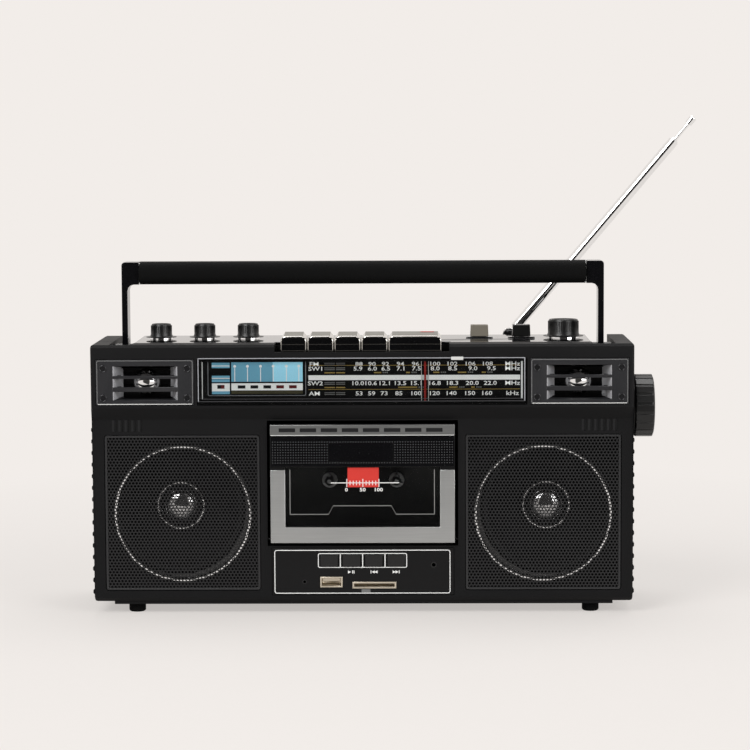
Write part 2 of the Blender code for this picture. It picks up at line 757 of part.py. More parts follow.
def tweeter_openings():
    pockets = []
    holes = []
    for side in SIDES.values():
        x = on_side(side, TWEETER_INNER_X - GAP, TWEETER_OUTER_X + GAP)
        z = (TWEETER_LOW_Z - GAP, TWEETER_HIGH_Z + GAP)
        pockets.append(box(x, (UPPER_FRONT_Y - OVERRUN, UPPER_FRONT_Y + TWEETER_POCKET), z))
        margin = 2 * (HORN_WALL + GAP)
        holes.append(box(
            around(side * HORN_X, HORN_MOUTH_WIDTH + margin),
            (UPPER_FRONT_Y - OVERRUN, INNER_UPPER_Y + OVERRUN),
            around(HORN_Z, HORN_MOUTH_HEIGHT + margin),
        ))
    return together(*pockets), together(*holes)


def window_openings():
    """The seat of the tuner window and the opening behind it."""
    seat_y = UPPER_FRONT_Y + WINDOW_THICKNESS + GAP
    z = (WINDOW_LOW_Z - GAP, WINDOW_HIGH_Z + GAP)
    seat = box(around(0, WINDOW_WIDTH + 2 * GAP), (UPPER_FRONT_Y - OVERRUN, seat_y), z)
    opening = box(
        around(0, WINDOW_WIDTH - 2 * WINDOW_RIM),
        (UPPER_FRONT_Y, INNER_UPPER_Y + OVERRUN),
        (WINDOW_LOW_Z + WINDOW_RIM, WINDOW_HIGH_Z - WINDOW_RIM),
    )
    return seat, opening


def door_pegs(margin):
    """The two pegs that the cassette door turns on, or the holes that hold them."""
    reach = BAY_HALF_WIDTH + DOOR_PEG_REACH + margin
    return together(*(
        rod(
            DOOR_PEG_RADIUS + margin,
            "X",
            (0, DOOR_HINGE_Y, DOOR_HINGE_Z),
            on_side(side, DOOR_WIDTH / 2 - GAP, reach),
            12,
        )
        for side in SIDES.values()
    ))


def deck_openings():
    """The cassette bay with the holes beside it, the player panel's seat and the opening behind that panel."""
    y = (LOWER_FRONT_Y - OVERRUN, INNER_LOWER_Y + OVERRUN)
    bay = box(around(0, 2 * BAY_HALF_WIDTH), y, (BAY_LOW_Z, BAY_HIGH_Z))
    seat_y = PANEL_FRONT_Y + PANEL_THICKNESS + GAP
    seat = box(
        around(0, 2 * (PANEL_HALF_WIDTH + GAP)),
        (LOWER_FRONT_Y - OVERRUN, seat_y),
        (PANEL_LOW_Z - GAP, PANEL_HIGH_Z + GAP),
    )
    opening = box(
        around(0, 2 * (PANEL_HALF_WIDTH - PANEL_LEDGE)),
        y,
        (PANEL_LOW_Z + PANEL_LEDGE, PANEL_HIGH_Z - PANEL_LEDGE),
    )
    return together(bay, seat), together(opening, door_pegs(GAP))


def make_front_shell():
    """The front half of the cabinet, with the stepped front and every opening in it."""
    shape = bevelled_sides(prism(front_outline(), "X", (-HALF_WIDTH, HALF_WIDTH)), FRONT_END_Y)
    plinth = box(
        around(0, BODY_WIDTH - 2 * PLINTH_SIDE_INSET),
        (LOWER_FRONT_Y + PLINTH_FRONT_INSET, FRONT_END_Y),
        (PAD_HEIGHT, PLINTH_TOP_Z + GAP),
    )
    tub, inside, mouth, slots = well_shapes()
    seam = FRONT_END_Y + OVERRUN
    steps = [("join", plinth)]
    steps += [("cut", cavity) for cavity in front_cavities()]
    steps += [("join", tub), ("cut", inside), ("cut", mouth), ("cut", slots)]
    steps += [("cut", channels(CHANNEL_FRONT_Y, seam, CHANNEL_SHALLOW_Z))]
    steps += [("cut", channels(CHANNEL_DEEP_Y, seam, LEDGE_Z))]
    steps += [("cut", plate_pocket(PLATE_FRONT_Y, seam))]
    for openings in (grille_openings(), tweeter_openings(), window_openings(), deck_openings()):
        steps += [("cut", opening) for opening in openings]
    tuning = (HALF_WIDTH, TUNING_Y, TUNING_Z)
    shaft_hole = rod(TUNING_SHAFT_RADIUS + GAP, "X", tuning, (-TUNING_SHAFT_INSIDE, OVERRUN))
    steps += [("cut", together(shaft_hole, foot_holes(FOOT_FRONT_Y)))]
    piece("front_shell", shape, BLACK_PLASTIC, steps)


def rear_outline():
    return (
        (REAR_START_Y, PLINTH_TOP_Z),
        (REAR_Y - BASE_CHAMFER, PLINTH_TOP_Z),
        (REAR_Y, PLINTH_TOP_Z + BASE_CHAMFER),
        (REAR_Y, LEDGE_Z - LEDGE_ROUND),
        (REAR_Y - LEDGE_ROUND, LEDGE_Z),
        (LEDGE_Y, LEDGE_Z),
        (LEDGE_Y, BODY_TOP_Z),
        (REAR_START_Y, BODY_TOP_Z),
    )


def battery_shapes():
    """The walls of the battery bay, the bay itself and the seat of its door."""
    wall = BATTERY_WALL
    walls = box(
        around(0, 2 * (BATTERY_HALF_WIDTH + wall)),
        (BATTERY_FRONT_Y - wall, INNER_REAR_Y + GAP),
        (BATTERY_LOW_Z - wall, BATTERY_HIGH_Z + wall),
    )
    bay = box(
        around(0, 2 * BATTERY_HALF_WIDTH),
        (BATTERY_FRONT_Y, REAR_Y + OVERRUN),
        (BATTERY_LOW_Z, BATTERY_HIGH_Z),
    )
    margin = BATTERY_DOOR_MARGIN + GAP
    seat = box(
        around(0, 2 * (BATTERY_HALF_WIDTH + margin)),
        (REAR_Y - BATTERY_DOOR_THICKNESS - GAP, REAR_Y + OVERRUN),
        (BATTERY_LOW_Z - margin, BATTERY_HIGH_Z + margin),
    )
    return walls, bay, seat


def control_holes(low_z, high_z):
    """Holes for the knob shafts, and slots for the slide stems."""
    shapes = []
    for x in [SMALL_KNOB_FIRST_X + i * SMALL_KNOB_PITCH for i in range(len(SMALL_KNOB_NAMES))] + [BAND_KNOB_X]:
        shapes.append(rod(KNOB_SHAFT_RADIUS + GAP, "Z", (x, CONTROL_Y, 0), (low_z, high_z), FINE_SIDES))
    for x in SLIDE_X.values():
        shapes.append(box(
            around(x, SLIDE_STEM_WIDTH + 2 * (SLIDE_TRAVEL + GAP)),
            around(CONTROL_Y, SLIDE_STEM_DEPTH + 2 * GAP),
            (low_z, high_z),
        ))
    return together(*shapes)


def make_rear_shell():
    """The rear half of the cabinet, with the ledge behind the top, the battery bay and the aerial's lug."""
    shape = bevelled_sides(prism(rear_outline(), "X", (-HALF_WIDTH, HALF_WIDTH)), REAR_START_Y)
    plinth = box(
        around(0, BODY_WIDTH - 2 * PLINTH_SIDE_INSET),
        (REAR_START_Y, REAR_Y - PLINTH_FRONT_INSET),
        (PAD_HEIGHT, PLINTH_TOP_Z + GAP),
    )
    pad = box(around(0, PAD_WIDTH), around(0, PAD_DEPTH), (0, PAD_HEIGHT + GAP))
    seam = REAR_START_Y - OVERRUN
    chest = box((-INNER_X, INNER_X), (seam, INNER_REAR_Y), (FLOOR_Z, CHEST_TOP_Z))
    between = box(
        around(0, 2 * (CHANNEL_INNER_X - WALL)),
        (seam, LEDGE_Y - WALL),
        (CHEST_TOP_Z - OVERRUN, CEILING_Z),
    )
    walls, bay, seat = battery_shapes()
    lug = box(
        around(AERIAL_X, LUG_WIDTH),
        (INNER_REAR_Y + GAP, LUG_REAR_Y),
        (LUG_LOW_Z, LUG_TOP_Z),
    )
    swivel = (AERIAL_X, AERIAL_Y, LUG_LOW_Z)
    swivel_hole = rod(
        SWIVEL_PIN_RADIUS + GAP, "Z", swivel, (-OVERRUN, LUG_TOP_Z - LUG_LOW_Z + OVERRUN), FINE_SIDES
    )
    inlet_hole = box(
        around(INLET_X, INLET_WIDTH + 2 * GAP),
        (INNER_REAR_Y - OVERRUN, REAR_Y + OVERRUN),
        around(INLET_Z, INLET_HEIGHT + 2 * GAP),
    )
    pin_holes = together(*(
        rod(
            ARM_PIN_RADIUS + GAP,
            "X",
            (0, HANDLE_PIVOT_Y, HANDLE_PIVOT_Z),
            on_side(side, CHANNEL_INNER_X - WALL - OVERRUN, CHANNEL_OUTER_X + ARM_PIN_REACH + GAP),
            FINE_SIDES,
        )
        for side in SIDES.values()
    ))
    steps = [("join", plinth), ("join", pad), ("cut", chest), ("cut", between)]
    steps += [("join", walls), ("cut", bay), ("cut", seat), ("join", lug)]
    steps += [("cut", channels(seam, LEDGE_Y + OVERRUN, LEDGE_Z))]
    steps += [("cut", plate_pocket(seam, LEDGE_Y + OVERRUN))]
    steps += [("cut", control_holes(CEILING_Z - OVERRUN, BODY_TOP_Z))]
    steps += [("cut", together(swivel_hole, inlet_hole, foot_holes(FOOT_REAR_Y))), ("cut", pin_holes)]
    piece("rear_shell", shape, BLACK_PLASTIC, steps)


def make_top_plate():
    """The glossy plate under the controls, notched for the keys, with the two raised slide bases."""
    shape = box(
        around(0, 2 * (CHANNEL_INNER_X - GAP)),
        (PLATE_FRONT_Y + GAP, LEDGE_Y - GAP),
        (BODY_TOP_Z - PLATE_THICKNESS, BODY_TOP_Z),
    )
    notch = box(
        around(0, 2 * (WELL_HALF_WIDTH + NOTCH_MARGIN)),
        (PLATE_FRONT_Y - OVERRUN, WELL_REAR_Y + NOTCH_MARGIN),
        (BODY_TOP_Z - PLATE_THICKNESS - OVERRUN, BODY_TOP_Z + OVERRUN),
    )
    bases = together(*(
        prism(
            rounded(around(x, SLIDE_BASE_WIDTH), around(CONTROL_Y, SLIDE_BASE_DEPTH), SLIDE_BASE_HEIGHT),
            "Z",
            (BODY_TOP_Z - GAP, BODY_TOP_Z + SLIDE_BASE_HEIGHT),
        )
        for x in SLIDE_X.values()
    ))
    holes = control_holes(BODY_TOP_Z - PLATE_THICKNESS - OVERRUN, BODY_TOP_Z + SLIDE_BASE_HEIGHT + OVERRUN)
    piece("top_plate", shape, GLOSS_BLACK, [("cut", notch), ("join", bases), ("cut", holes)])


def make_grille(label, side):
    outline = rounded(
        around(side * GRILLE_X, GRILLE_WIDTH - 2 * GAP),
        around(GRILLE_Z, GRILLE_HEIGHT - 2 * GAP),
        GRILLE_CORNER - GAP,
    )
    back_y = LOWER_FRONT_Y + GRILLE_POCKET - GAP
    piece(f"grille_{label}", prism(outline, "Y", (back_y - GRILLE_THICKNESS, back_y)), DARK_METAL)


def make_speaker(label, side):
    """A cone speaker behind its grille: a basket with its magnet, and a paper cone with a dust cap."""
    front_y = INNER_LOWER_Y + GAP
    centre = (side * SPEAKER_X, front_y, SPEAKER_Z)
    seat = SURROUND_RISE + CONE_WALL + GAP
    basket = (
        (0, BASKET_DEPTH + MAGNET_LENGTH),
        (MAGNET_RADIUS, BASKET_DEPTH + MAGNET_LENGTH),
        (MAGNET_RADIUS, BASKET_DEPTH),
        (BASKET_NECK, BASKET_DEPTH),
        (BASKET_NECK, BASKET_DEPTH - BASKET_STRAIGHT),
        (BASKET_OPENING + BASKET_WALL, seat),
        (FLANGE_RADIUS, seat),
        (FLANGE_RADIUS, 0),
        (BASKET_OPENING, 0),
        (BASKET_OPENING, seat),
        (BASKET_NECK - BASKET_WALL, BASKET_DEPTH - BASKET_STRAIGHT),
        (BASKET_NECK - BASKET_WALL, BASKET_DEPTH - BASKET_WALL),
        (0, BASKET_DEPTH - BASKET_WALL),
    )
    piece(f"speaker_frame_{label}", turned(basket, "Y", centre, 32), DARK_METAL, origin=centre)
    rim = BASKET_OPENING - GAP
    roll = rim - SURROUND_WIDTH
    front = [
        (rim, SURROUND_RISE),
        (rim - SURROUND_WIDTH / 4, SURROUND_RISE / 4),
        ((rim + roll) / 2, 0),
        (roll + SURROUND_WIDTH / 4, SURROUND_RISE / 4),
        (roll, SURROUND_RISE),
        (DUST_CAP_RADIUS, CONE_DEPTH),
    ]
    cap_steps = 3
    cap = [
        (
            DUST_CAP_RADIUS * math.cos(math.radians(90) * step / cap_steps),
            CONE_DEPTH - DUST_CAP_RISE * math.sin(math.radians(90) * step / cap_steps),
        )
        for step in range(1, cap_steps)
    ]
    top = (0, CONE_DEPTH - DUST_CAP_RISE)
    back = [(radius, depth + CONE_WALL) for radius, depth in reversed(front + cap)]
    profile = [(0, top[1] + CONE_WALL)] + back + front + cap + [top]
    piece(f"speaker_cone_{label}", turned(profile, "Y", centre, 32), SOFT_BLACK, origin=centre)


def rectangle_at(x, y, z):
    """The four corners of an upright rectangle."""
    return ((x[0], y, z[0]), (x[1], y, z[0]), (x[1], y, z[1]), (x[0], y, z[1]))


def make_tweeter(label, side):
    """A horn with two louvres across its mouth, and the dome in its throat."""
    face = box(
        on_side(side, TWEETER_INNER_X, TWEETER_OUTER_X),
        (UPPER_FRONT_Y, UPPER_FRONT_Y + TWEETER_POCKET - GAP),
        (TWEETER_LOW_Z, TWEETER_HIGH_Z),
    )
    x = side * HORN_X
    throat_y = UPPER_FRONT_Y + HORN_DEPTH
    body = box(
        around(x, HORN_MOUTH_WIDTH + 2 * HORN_WALL),
        (UPPER_FRONT_Y + TWEETER_POCKET / 2, throat_y + HORN_BACK),
        around(HORN_Z, HORN_MOUTH_HEIGHT + 2 * HORN_WALL),
    )
    flare_share = (HORN_DEPTH + OVERRUN) / HORN_DEPTH
    mouth_width = HORN_THROAT_WIDTH + (HORN_MOUTH_WIDTH - HORN_THROAT_WIDTH) * flare_share
    mouth_height = HORN_THROAT_HEIGHT + (HORN_MOUTH_HEIGHT - HORN_THROAT_HEIGHT) * flare_share
    horn = loft(
        rectangle_at(around(x, mouth_width), UPPER_FRONT_Y - OVERRUN, around(HORN_Z, mouth_height)),
        rectangle_at(around(x, HORN_THROAT_WIDTH), throat_y, around(HORN_Z, HORN_THROAT_HEIGHT)),
    )
    louvre_y = (UPPER_FRONT_Y + LOUVRE_SETBACK, UPPER_FRONT_Y + LOUVRE_SETBACK + LOUVRE_DEPTH)
    louvre_x = around(x, HORN_MOUTH_WIDTH + HORN_WALL)
    louvres = together(
        box(louvre_x, louvre_y, around(LOUVRE_UPPER_Z, LOUVRE_UPPER_HEIGHT)),
        box(louvre_x, louvre_y, around(LOUVRE_LOWER_Z, LOUVRE_LOWER_HEIGHT)),
    )
    steps = [("join", body), ("cut", horn), ("join", louvres)]
    piece(f"tweeter_bezel_{label}", face, GREY_PLASTIC, steps)
    dome_steps = 5
    dome = [(0, 0)] + [
        (
            TWEETER_DOME_RADIUS * math.cos(math.radians(90) * step / dome_steps),
            -TWEETER_DOME_RADIUS * math.sin(math.radians(90) * step / dome_steps),
        )
        for step in range(dome_steps)
    ] + [(0, -TWEETER_DOME_RADIUS)]
    centre = (x, throat_y - GAP, HORN_Z)
    piece(f"tweeter_dome_{label}", turned(dome, "Y", centre), CHROME, origin=centre)


def make_tuner():
    """The clear window, the printed dial behind it, and the pointer clipped over the dial's lower edge."""
    window = box(
        around(0, WINDOW_WIDTH),
        (UPPER_FRONT_Y, UPPER_FRONT_Y + WINDOW_THICKNESS),
        (WINDOW_LOW_Z, WINDOW_HIGH_Z),
    )
    piece("tuner_window", window, CLEAR)
    dial_y = (DIAL_FRONT_Y, DIAL_FRONT_Y + DIAL_THICKNESS)
    dial = box(around(0, DIAL_WIDTH), dial_y, (DIAL_LOW_Z, DIAL_HIGH_Z))
    end_z = (DIAL_LOW_Z + DIAL_END_INSET_Z, DIAL_HIGH_Z - DIAL_END_INSET_Z)
    ends = together(*(
        box(
            on_side(side, DIAL_WIDTH / 2 - DIAL_END_WIDTH, DIAL_WIDTH / 2),
            (POINTER_FRONT_Y, dial_y[0] + GAP),
            end_z,
        )
        for side in SIDES.values()
    ))
    piece("dial_plate", dial, PAPER, [("join", ends)])
    clip_front_y = dial_y[1] + POINTER_CLEARANCE
    clip_back_y = clip_front_y + POINTER_CLIP_THICKNESS
    bottom_z = DIAL_LOW_Z - POINTER_CLEARANCE - POINTER_FOOT
    outline = (
        (POINTER_FRONT_Y, bottom_z),
        (clip_back_y, bottom_z),
        (clip_back_y, bottom_z + POINTER_CLIP_HEIGHT),
        (clip_front_y, bottom_z + POINTER_CLIP_HEIGHT),
        (clip_front_y, bottom_z + POINTER_FOOT),
        (POINTER_FRONT_Y + POINTER_THICKNESS, bottom_z + POINTER_FOOT),
        (POINTER_FRONT_Y + POINTER_THICKNESS, DIAL_HIGH_Z),
        (POINTER_FRONT_Y, DIAL_HIGH_Z),
    )
    pointer = prism(outline, "X", around(POINTER_X, POINTER_WIDTH))
    piece("dial_pointer", pointer, RED, origin=(POINTER_X, POINTER_FRONT_Y, bottom_z))


def make_tuning_knob():
    """The large knob on the right side, with its shaft through the side wall."""
    start = GAP
    disc_end = start + TUNING_DISC_THICKNESS
    end = disc_end + TUNING_LENGTH
    profile = (
        (0, -TUNING_SHAFT_INSIDE + GAP),
        (TUNING_SHAFT_RADIUS, -TUNING_SHAFT_INSIDE + GAP),
        (TUNING_SHAFT_RADIUS, start),
        (TUNING_DISC_RADIUS, start),
        (TUNING_DISC_RADIUS, disc_end),
        (TUNING_RADIUS, disc_end),
        (TUNING_RADIUS, end - TUNING_EDGE),
        (TUNING_RADIUS - TUNING_EDGE, end),
        (TUNING_DISH_RADIUS, end),
        (TUNING_DISH_RADIUS - TUNING_DISH_DEPTH, end - TUNING_DISH_DEPTH),
        (0, end - TUNING_DISH_DEPTH),
    )
    centre = (HALF_WIDTH, TUNING_Y, TUNING_Z)
    piece("tuning_knob", turned(profile, "X", centre, 36), BLACK_PLASTIC, origin=centre)


def make_cassette_door():
    """The hinged door with its cassette guides, the trim over its upper part, and its clear pane."""
    hinge = (0, DOOR_HINGE_Y, DOOR_HINGE_Z)
    door = box(around(0, DOOR_WIDTH), (DOOR_FRONT_Y, DOOR_BACK_Y), (DOOR_LOW_Z, DOOR_HIGH_Z))
    opening_x = around(0, 2 * DOOR_OPENING_HALF_WIDTH)
    opening = box(
        opening_x,
        (DOOR_FRONT_Y - OVERRUN, DOOR_BACK_Y + OVERRUN),
        (DOOR_OPENING_LOW_Z, DOOR_OPENING_HIGH_Z),
    )
    rail_y = (DOOR_BACK_Y - GAP, DOOR_BACK_Y + RAIL_LENGTH)
    rails = together(*(
        box(around(side * RAIL_X, RAIL_WIDTH), rail_y, (RAIL_LOW_Z, RAIL_HIGH_Z))
        for side in SIDES.values()
    ))
    shelf = box(around(0, 2 * RAIL_X), rail_y, (RAIL_LOW_Z, RAIL_LOW_Z + SHELF_THICKNESS))
    steps = [("cut", opening), ("join", rails), ("join", shelf), ("join", door_pegs(0))]
    frame = piece("cassette_door", door, SILVER, steps, origin=hinge)
    trim_back_y = DOOR_FRONT_Y - GAP
    trim_shape = box(
        around(0, DOOR_WIDTH - 2 * TRIM_MARGIN),
        (trim_back_y - TRIM_THICKNESS, trim_back_y),
        (DOOR_OPENING_HIGH_Z + TRIM_MARGIN, DOOR_HIGH_Z - TRIM_MARGIN),
    )
    trim = piece("door_trim", trim_shape, GREY_PLASTIC, origin=hinge)
    pane_y = DOOR_FRONT_Y + PANE_SETBACK
    pane_shape = box(
        around(0, 2 * (DOOR_OPENING_HALF_WIDTH - GAP)),
        (pane_y, pane_y + PANE_THICKNESS),
        (DOOR_OPENING_LOW_Z + GAP, DOOR_OPENING_HIGH_Z - GAP),
    )
    pane = piece("door_window", pane_shape, CLEAR, origin=hinge)
    carrier("door_hinge", hinge, (frame, trim, pane))


def make_deck():
    """The tub behind the door, with the tape head, the motor and the flywheel on its capstan."""
    wall = DECK_WALL
    tub = box(
        around(0, 2 * (BAY_HALF_WIDTH + GAP + wall)),
        (DECK_FRONT_Y, DECK_BACK_Y),
        (BAY_LOW_Z - DECK_LIP - GAP, BAY_HIGH_Z + DECK_LIP),
    )
    inside = box(
        around(0, 2 * (BAY_HALF_WIDTH + GAP)),
        (DECK_FRONT_Y - OVERRUN, DECK_BACK_FRONT_Y),
        (BAY_LOW_Z + DECK_LIP, BAY_HIGH_Z - DECK_LIP),
    )
    span = (DECK_BACK_FRONT_Y - OVERRUN, DECK_BACK_Y + OVERRUN)
    holes = together(
        *(
            rod(
                SPINDLE_SHAFT_RADIUS + GAP, "Y", (side * SPINDLE_SPACING / 2, 0, SPINDLE_Z), span, FINE_SIDES
            )
            for side in SIDES.values()
        ),
        rod(CAPSTAN_RADIUS + GAP, "Y", (CAPSTAN_X, 0, CAPSTAN_Z), span, FINE_SIDES),
    )
    piece("deck_chassis", tub, BLACK_PLASTIC, [("cut", inside), ("cut", holes)])
    head_y = DECK_BACK_FRONT_Y - GAP
    head = box(around(0, HEAD_WIDTH), (head_y - HEAD_LENGTH, head_y), (HEAD_LOW_Z, HEAD_HIGH_Z))
    piece("tape_head", head, CHROME)
    start_y = DECK_BACK_Y + GAP
    motor = (
        (0, 0),
        (MOTOR_RADIUS, 0),
        (MOTOR_RADIUS, MOTOR_LENGTH - MOTOR_EDGE),
        (MOTOR_RADIUS - MOTOR_EDGE, MOTOR_LENGTH),
        (0, MOTOR_LENGTH),
    )
    piece("drive_motor", turned(motor, "Y", (MOTOR_X, start_y, MOTOR_Z)), CHROME)
    flywheel = (
        (0, -GAP - DECK_BACK_THICKNESS - CAPSTAN_LENGTH),
        (CAPSTAN_RADIUS, -GAP - DECK_BACK_THICKNESS - CAPSTAN_LENGTH),
        (CAPSTAN_RADIUS, 0),
        (FLYWHEEL_RADIUS, 0),
        (FLYWHEEL_RADIUS, FLYWHEEL_THICKNESS),
        (FLYWHEEL_HUB_RADIUS, FLYWHEEL_THICKNESS),
        (FLYWHEEL_HUB_RADIUS, FLYWHEEL_THICKNESS + FLYWHEEL_HUB_LENGTH),
        (0, FLYWHEEL_THICKNESS + FLYWHEEL_HUB_LENGTH),
    )
    centre = (CAPSTAN_X, start_y, CAPSTAN_Z)
    piece("capstan_flywheel", turned(flywheel, "Y", centre, FINE_SIDES), CHROME, origin=centre)


def make_spindle(label, side):
    """A reel hub with three teeth, whose shaft is held through the deck's back."""
    centre = (side * SPINDLE_SPACING / 2, DECK_BACK_FRONT_Y - GAP, SPINDLE_Z)
    tip_y = -SPINDLE_COLLAR_LENGTH - SPINDLE_LENGTH
    behind = GAP + DECK_BACK_THICKNESS + GAP
    profile = (
        (0, tip_y),
        (SPINDLE_RADIUS / 2, tip_y),
        (SPINDLE_RADIUS, tip_y + SPINDLE_RADIUS / 2),
        (SPINDLE_RADIUS, -SPINDLE_COLLAR_LENGTH),
        (SPINDLE_COLLAR_RADIUS, -SPINDLE_COLLAR_LENGTH),
        (SPINDLE_COLLAR_RADIUS, 0),
        (SPINDLE_SHAFT_RADIUS, 0),
        (SPINDLE_SHAFT_RADIUS, behind),
        (SPINDLE_END_RADIUS, behind),
        (SPINDLE_END_RADIUS, behind + SPINDLE_END_LENGTH),
        (0, behind + SPINDLE_END_LENGTH),
    )
    steps = []
    for tooth in range(SPINDLE_TEETH):
        angle = math.tau * tooth / SPINDLE_TEETH + math.radians(90)
        along = Vector((math.cos(angle), 0, math.sin(angle)))
        across = Vector((-math.sin(angle), 0, math.cos(angle))) * SPINDLE_TOOTH_WIDTH / 2
        ends = []
        for y in (tip_y + SPINDLE_RADIUS, -SPINDLE_COLLAR_LENGTH + GAP):
            middle = Vector(centre) + Vector((0, y, 0))
            reach = along * SPINDLE_TOOTH_REACH
            inner = along * SPINDLE_RADIUS / 2
            corners = (inner - across, reach - across, reach + across, inner + across)
            ends.append([middle + corner for corner in corners])
        steps.append(("join", loft(*ends)))
    piece(f"spindle_{label}", turned(profile, "Y", centre, 12), BLACK_PLASTIC, steps, origin=centre)


def make_key(index):
    """A bright cassette key: sloped top, chamfered sides and a stem down through the floor of the well."""
    low, high = key_span(index)
    ends = []
    for y, rise in ((KEY_FRONT_Y, 0), (KEY_FRONT_Y + KEY_LENGTH, KEY_REAR_RISE)):
        top_z = KEY_FRONT_TOP_Z + rise
        ends.append([
            (low, y, KEY_BOTTOM_Z),
            (high, y, KEY_BOTTOM_Z),
            (high, y, top_z - KEY_SHOULDER_DROP),
            (high - KEY_SHOULDER, y, top_z),
            (low + KEY_SHOULDER, y, top_z),
            (low, y, top_z - KEY_SHOULDER_DROP),
        ])
    stem = key_stem(index, 0, (KEY_BOTTOM_Z - KEY_STEM_LENGTH, KEY_BOTTOM_Z + GAP))
    origin = ((low + high) / 2, KEY_FRONT_Y + KEY_LENGTH / 2, KEY_BOTTOM_Z)
    piece(KEY_NAMES[index], loft(*ends), CHROME, [("join", stem)], origin=origin)


def button_x(index):
    return BUTTON_CENTRE_X + (index - (len(BUTTON_NAMES) - 1) / 2) * BUTTON_PITCH


def port_box(x, z, width, height, margin, y):
    return box(around(x, width + 2 * margin), y, around(z, height + 2 * margin))


def make_player_panel():
    """The panel under the door with its four buttons, the two ports and the board that carries them."""
    y = (PANEL_FRONT_Y, PANEL_FRONT_Y + PANEL_THICKNESS)
    through = (y[0] - OVERRUN, y[1] + OVERRUN)
    panel = box(around(0, 2 * PANEL_HALF_WIDTH), y, (PANEL_LOW_Z, PANEL_HIGH_Z))
    holes = together(
        *(
            port_box(button_x(i), BUTTON_Z, BUTTON_WIDTH, BUTTON_HEIGHT, GAP, through)
            for i in range(len(BUTTON_NAMES))
        ),
        port_box(USB_X, USB_Z, USB_WIDTH, USB_HEIGHT, GAP, through),
        port_box(CARD_X, CARD_Z, CARD_WIDTH, CARD_HEIGHT, GAP, through),
        rod(LAMP_RADIUS, "Y", (LAMP_X, 0, LAMP_Z), through, 12),
        rod(MIC_RADIUS, "Y", (MIC_X, 0, MIC_Z), through, 12),
    )
    piece("media_panel", panel, GLOSS_BLACK, [("cut", holes)])
    board = box(
        around(0, 2 * BOARD_HALF_WIDTH),
        (BOARD_FRONT_Y, BOARD_FRONT_Y + BOARD_THICKNESS),
        (BOARD_LOW_Z, BOARD_HIGH_Z),
    )
    piece("main_board", board, BOARD_GREEN)


def make_button(index):
    x = button_x(index)
    cap_y = (BUTTON_BACK_Y - BUTTON_DEPTH, BUTTON_BACK_Y)
    outline = rounded(around(x, BUTTON_WIDTH), around(BUTTON_Z, BUTTON_HEIGHT), BUTTON_PROUD, 2)
    centre = (x, cap_y[1], BUTTON_Z)
    stem = rod(BUTTON_STEM_RADIUS, "Y", centre, (-GAP, BUTTON_STEM_LENGTH), 12)
    cap = prism(outline, "Y", cap_y)
    piece(BUTTON_NAMES[index], cap, GLOSS_BLACK, [("join", stem)], origin=centre)


def make_ports():
    """The metal USB port with its tongue, and the card slot, both soldered to the board."""
    front_y = PANEL_FRONT_Y - PORT_PROUD
    y = (front_y, BOARD_FRONT_Y - GAP)
    cavity_y = (front_y - OVERRUN, front_y + USB_CAVITY_DEPTH)
    shell = port_box(USB_X, USB_Z, USB_WIDTH, USB_HEIGHT, 0, y)
    cavity = port_box(USB_X, USB_Z, USB_WIDTH, USB_HEIGHT, -USB_WALL, cavity_y)
    tongue = box(
        around(USB_X, USB_WIDTH - 2 * (USB_WALL + USB_TONGUE_MARGIN)),
        (front_y + USB_TONGUE_SETBACK, cavity_y[1] + GAP),
        around(USB_Z + USB_TONGUE_RAISE, USB_TONGUE_THICKNESS),
    )
    piece("usb_port", shell, BRASS, [("cut", cavity), ("join", tongue)])
    slot_y = (front_y - OVERRUN, front_y + CARD_CAVITY_DEPTH)
    slot_shell = port_box(CARD_X, CARD_Z, CARD_WIDTH, CARD_HEIGHT, 0, y)
    slot = port_box(CARD_X, CARD_Z, CARD_WIDTH, CARD_HEIGHT, -CARD_WALL, slot_y)
    piece("card_slot", slot_shell, BRASS, [("cut", slot)])


def make_knob(name, x, radius, height):
    """A skirted knob with a bright ring under it and a shaft down into the cabinet."""
    base = radius + KNOB_FLARE
    ring_top = GAP + KNOB_RING_HEIGHT
    flange_top = ring_top + KNOB_FLANGE_THICKNESS
    profile = (
        (0, -KNOB_SHAFT_LENGTH),
        (KNOB_SHAFT_RADIUS, -KNOB_SHAFT_LENGTH),
        (KNOB_SHAFT_RADIUS, GAP),
        (base - KNOB_RING_INSET, GAP),
        (base - KNOB_RING_INSET, ring_top),
        (radius + KNOB_FLANGE_REACH, ring_top),
        (radius + KNOB_FLANGE_REACH, flange_top),
        (base, flange_top),
        (radius, flange_top + KNOB_FLARE_HEIGHT),
        (radius, height - KNOB_EDGE),
        (radius - KNOB_EDGE, height),
        (radius - KNOB_DISH_MARGIN, height),
        (radius - 2 * KNOB_DISH_MARGIN, height - KNOB_DISH_DEPTH),
        (0, height - KNOB_DISH_DEPTH),
    )
    centre = (x, CONTROL_Y, BODY_TOP_Z)
    piece(name, turned(profile, "Z", centre), BLACK_PLASTIC, origin=centre)


def make_slide(name, x, finish):
    """A slide switch's cap, a little narrower at the top, on a stem through its base."""
    low_z = BODY_TOP_Z + SLIDE_BASE_HEIGHT + GAP
    high_z = low_z + SLIDE_HEIGHT
    ends = []
    for z, taper in ((low_z, 0), (high_z, SLIDE_TAPER)):
        low_x, high_x = around(x, SLIDE_WIDTH - 2 * taper)
        low_y, high_y = around(CONTROL_Y, SLIDE_DEPTH - 2 * taper)
        ends.append([(low_x, low_y, z), (high_x, low_y, z), (high_x, high_y, z), (low_x, high_y, z)])
    stem = box(
        around(x, SLIDE_STEM_WIDTH),
        around(CONTROL_Y, SLIDE_STEM_DEPTH),
        (low_z - SLIDE_STEM_LENGTH, low_z + GAP),
    )
    piece(name, loft(*ends), finish, [("join", stem)], origin=(x, CONTROL_Y, low_z))


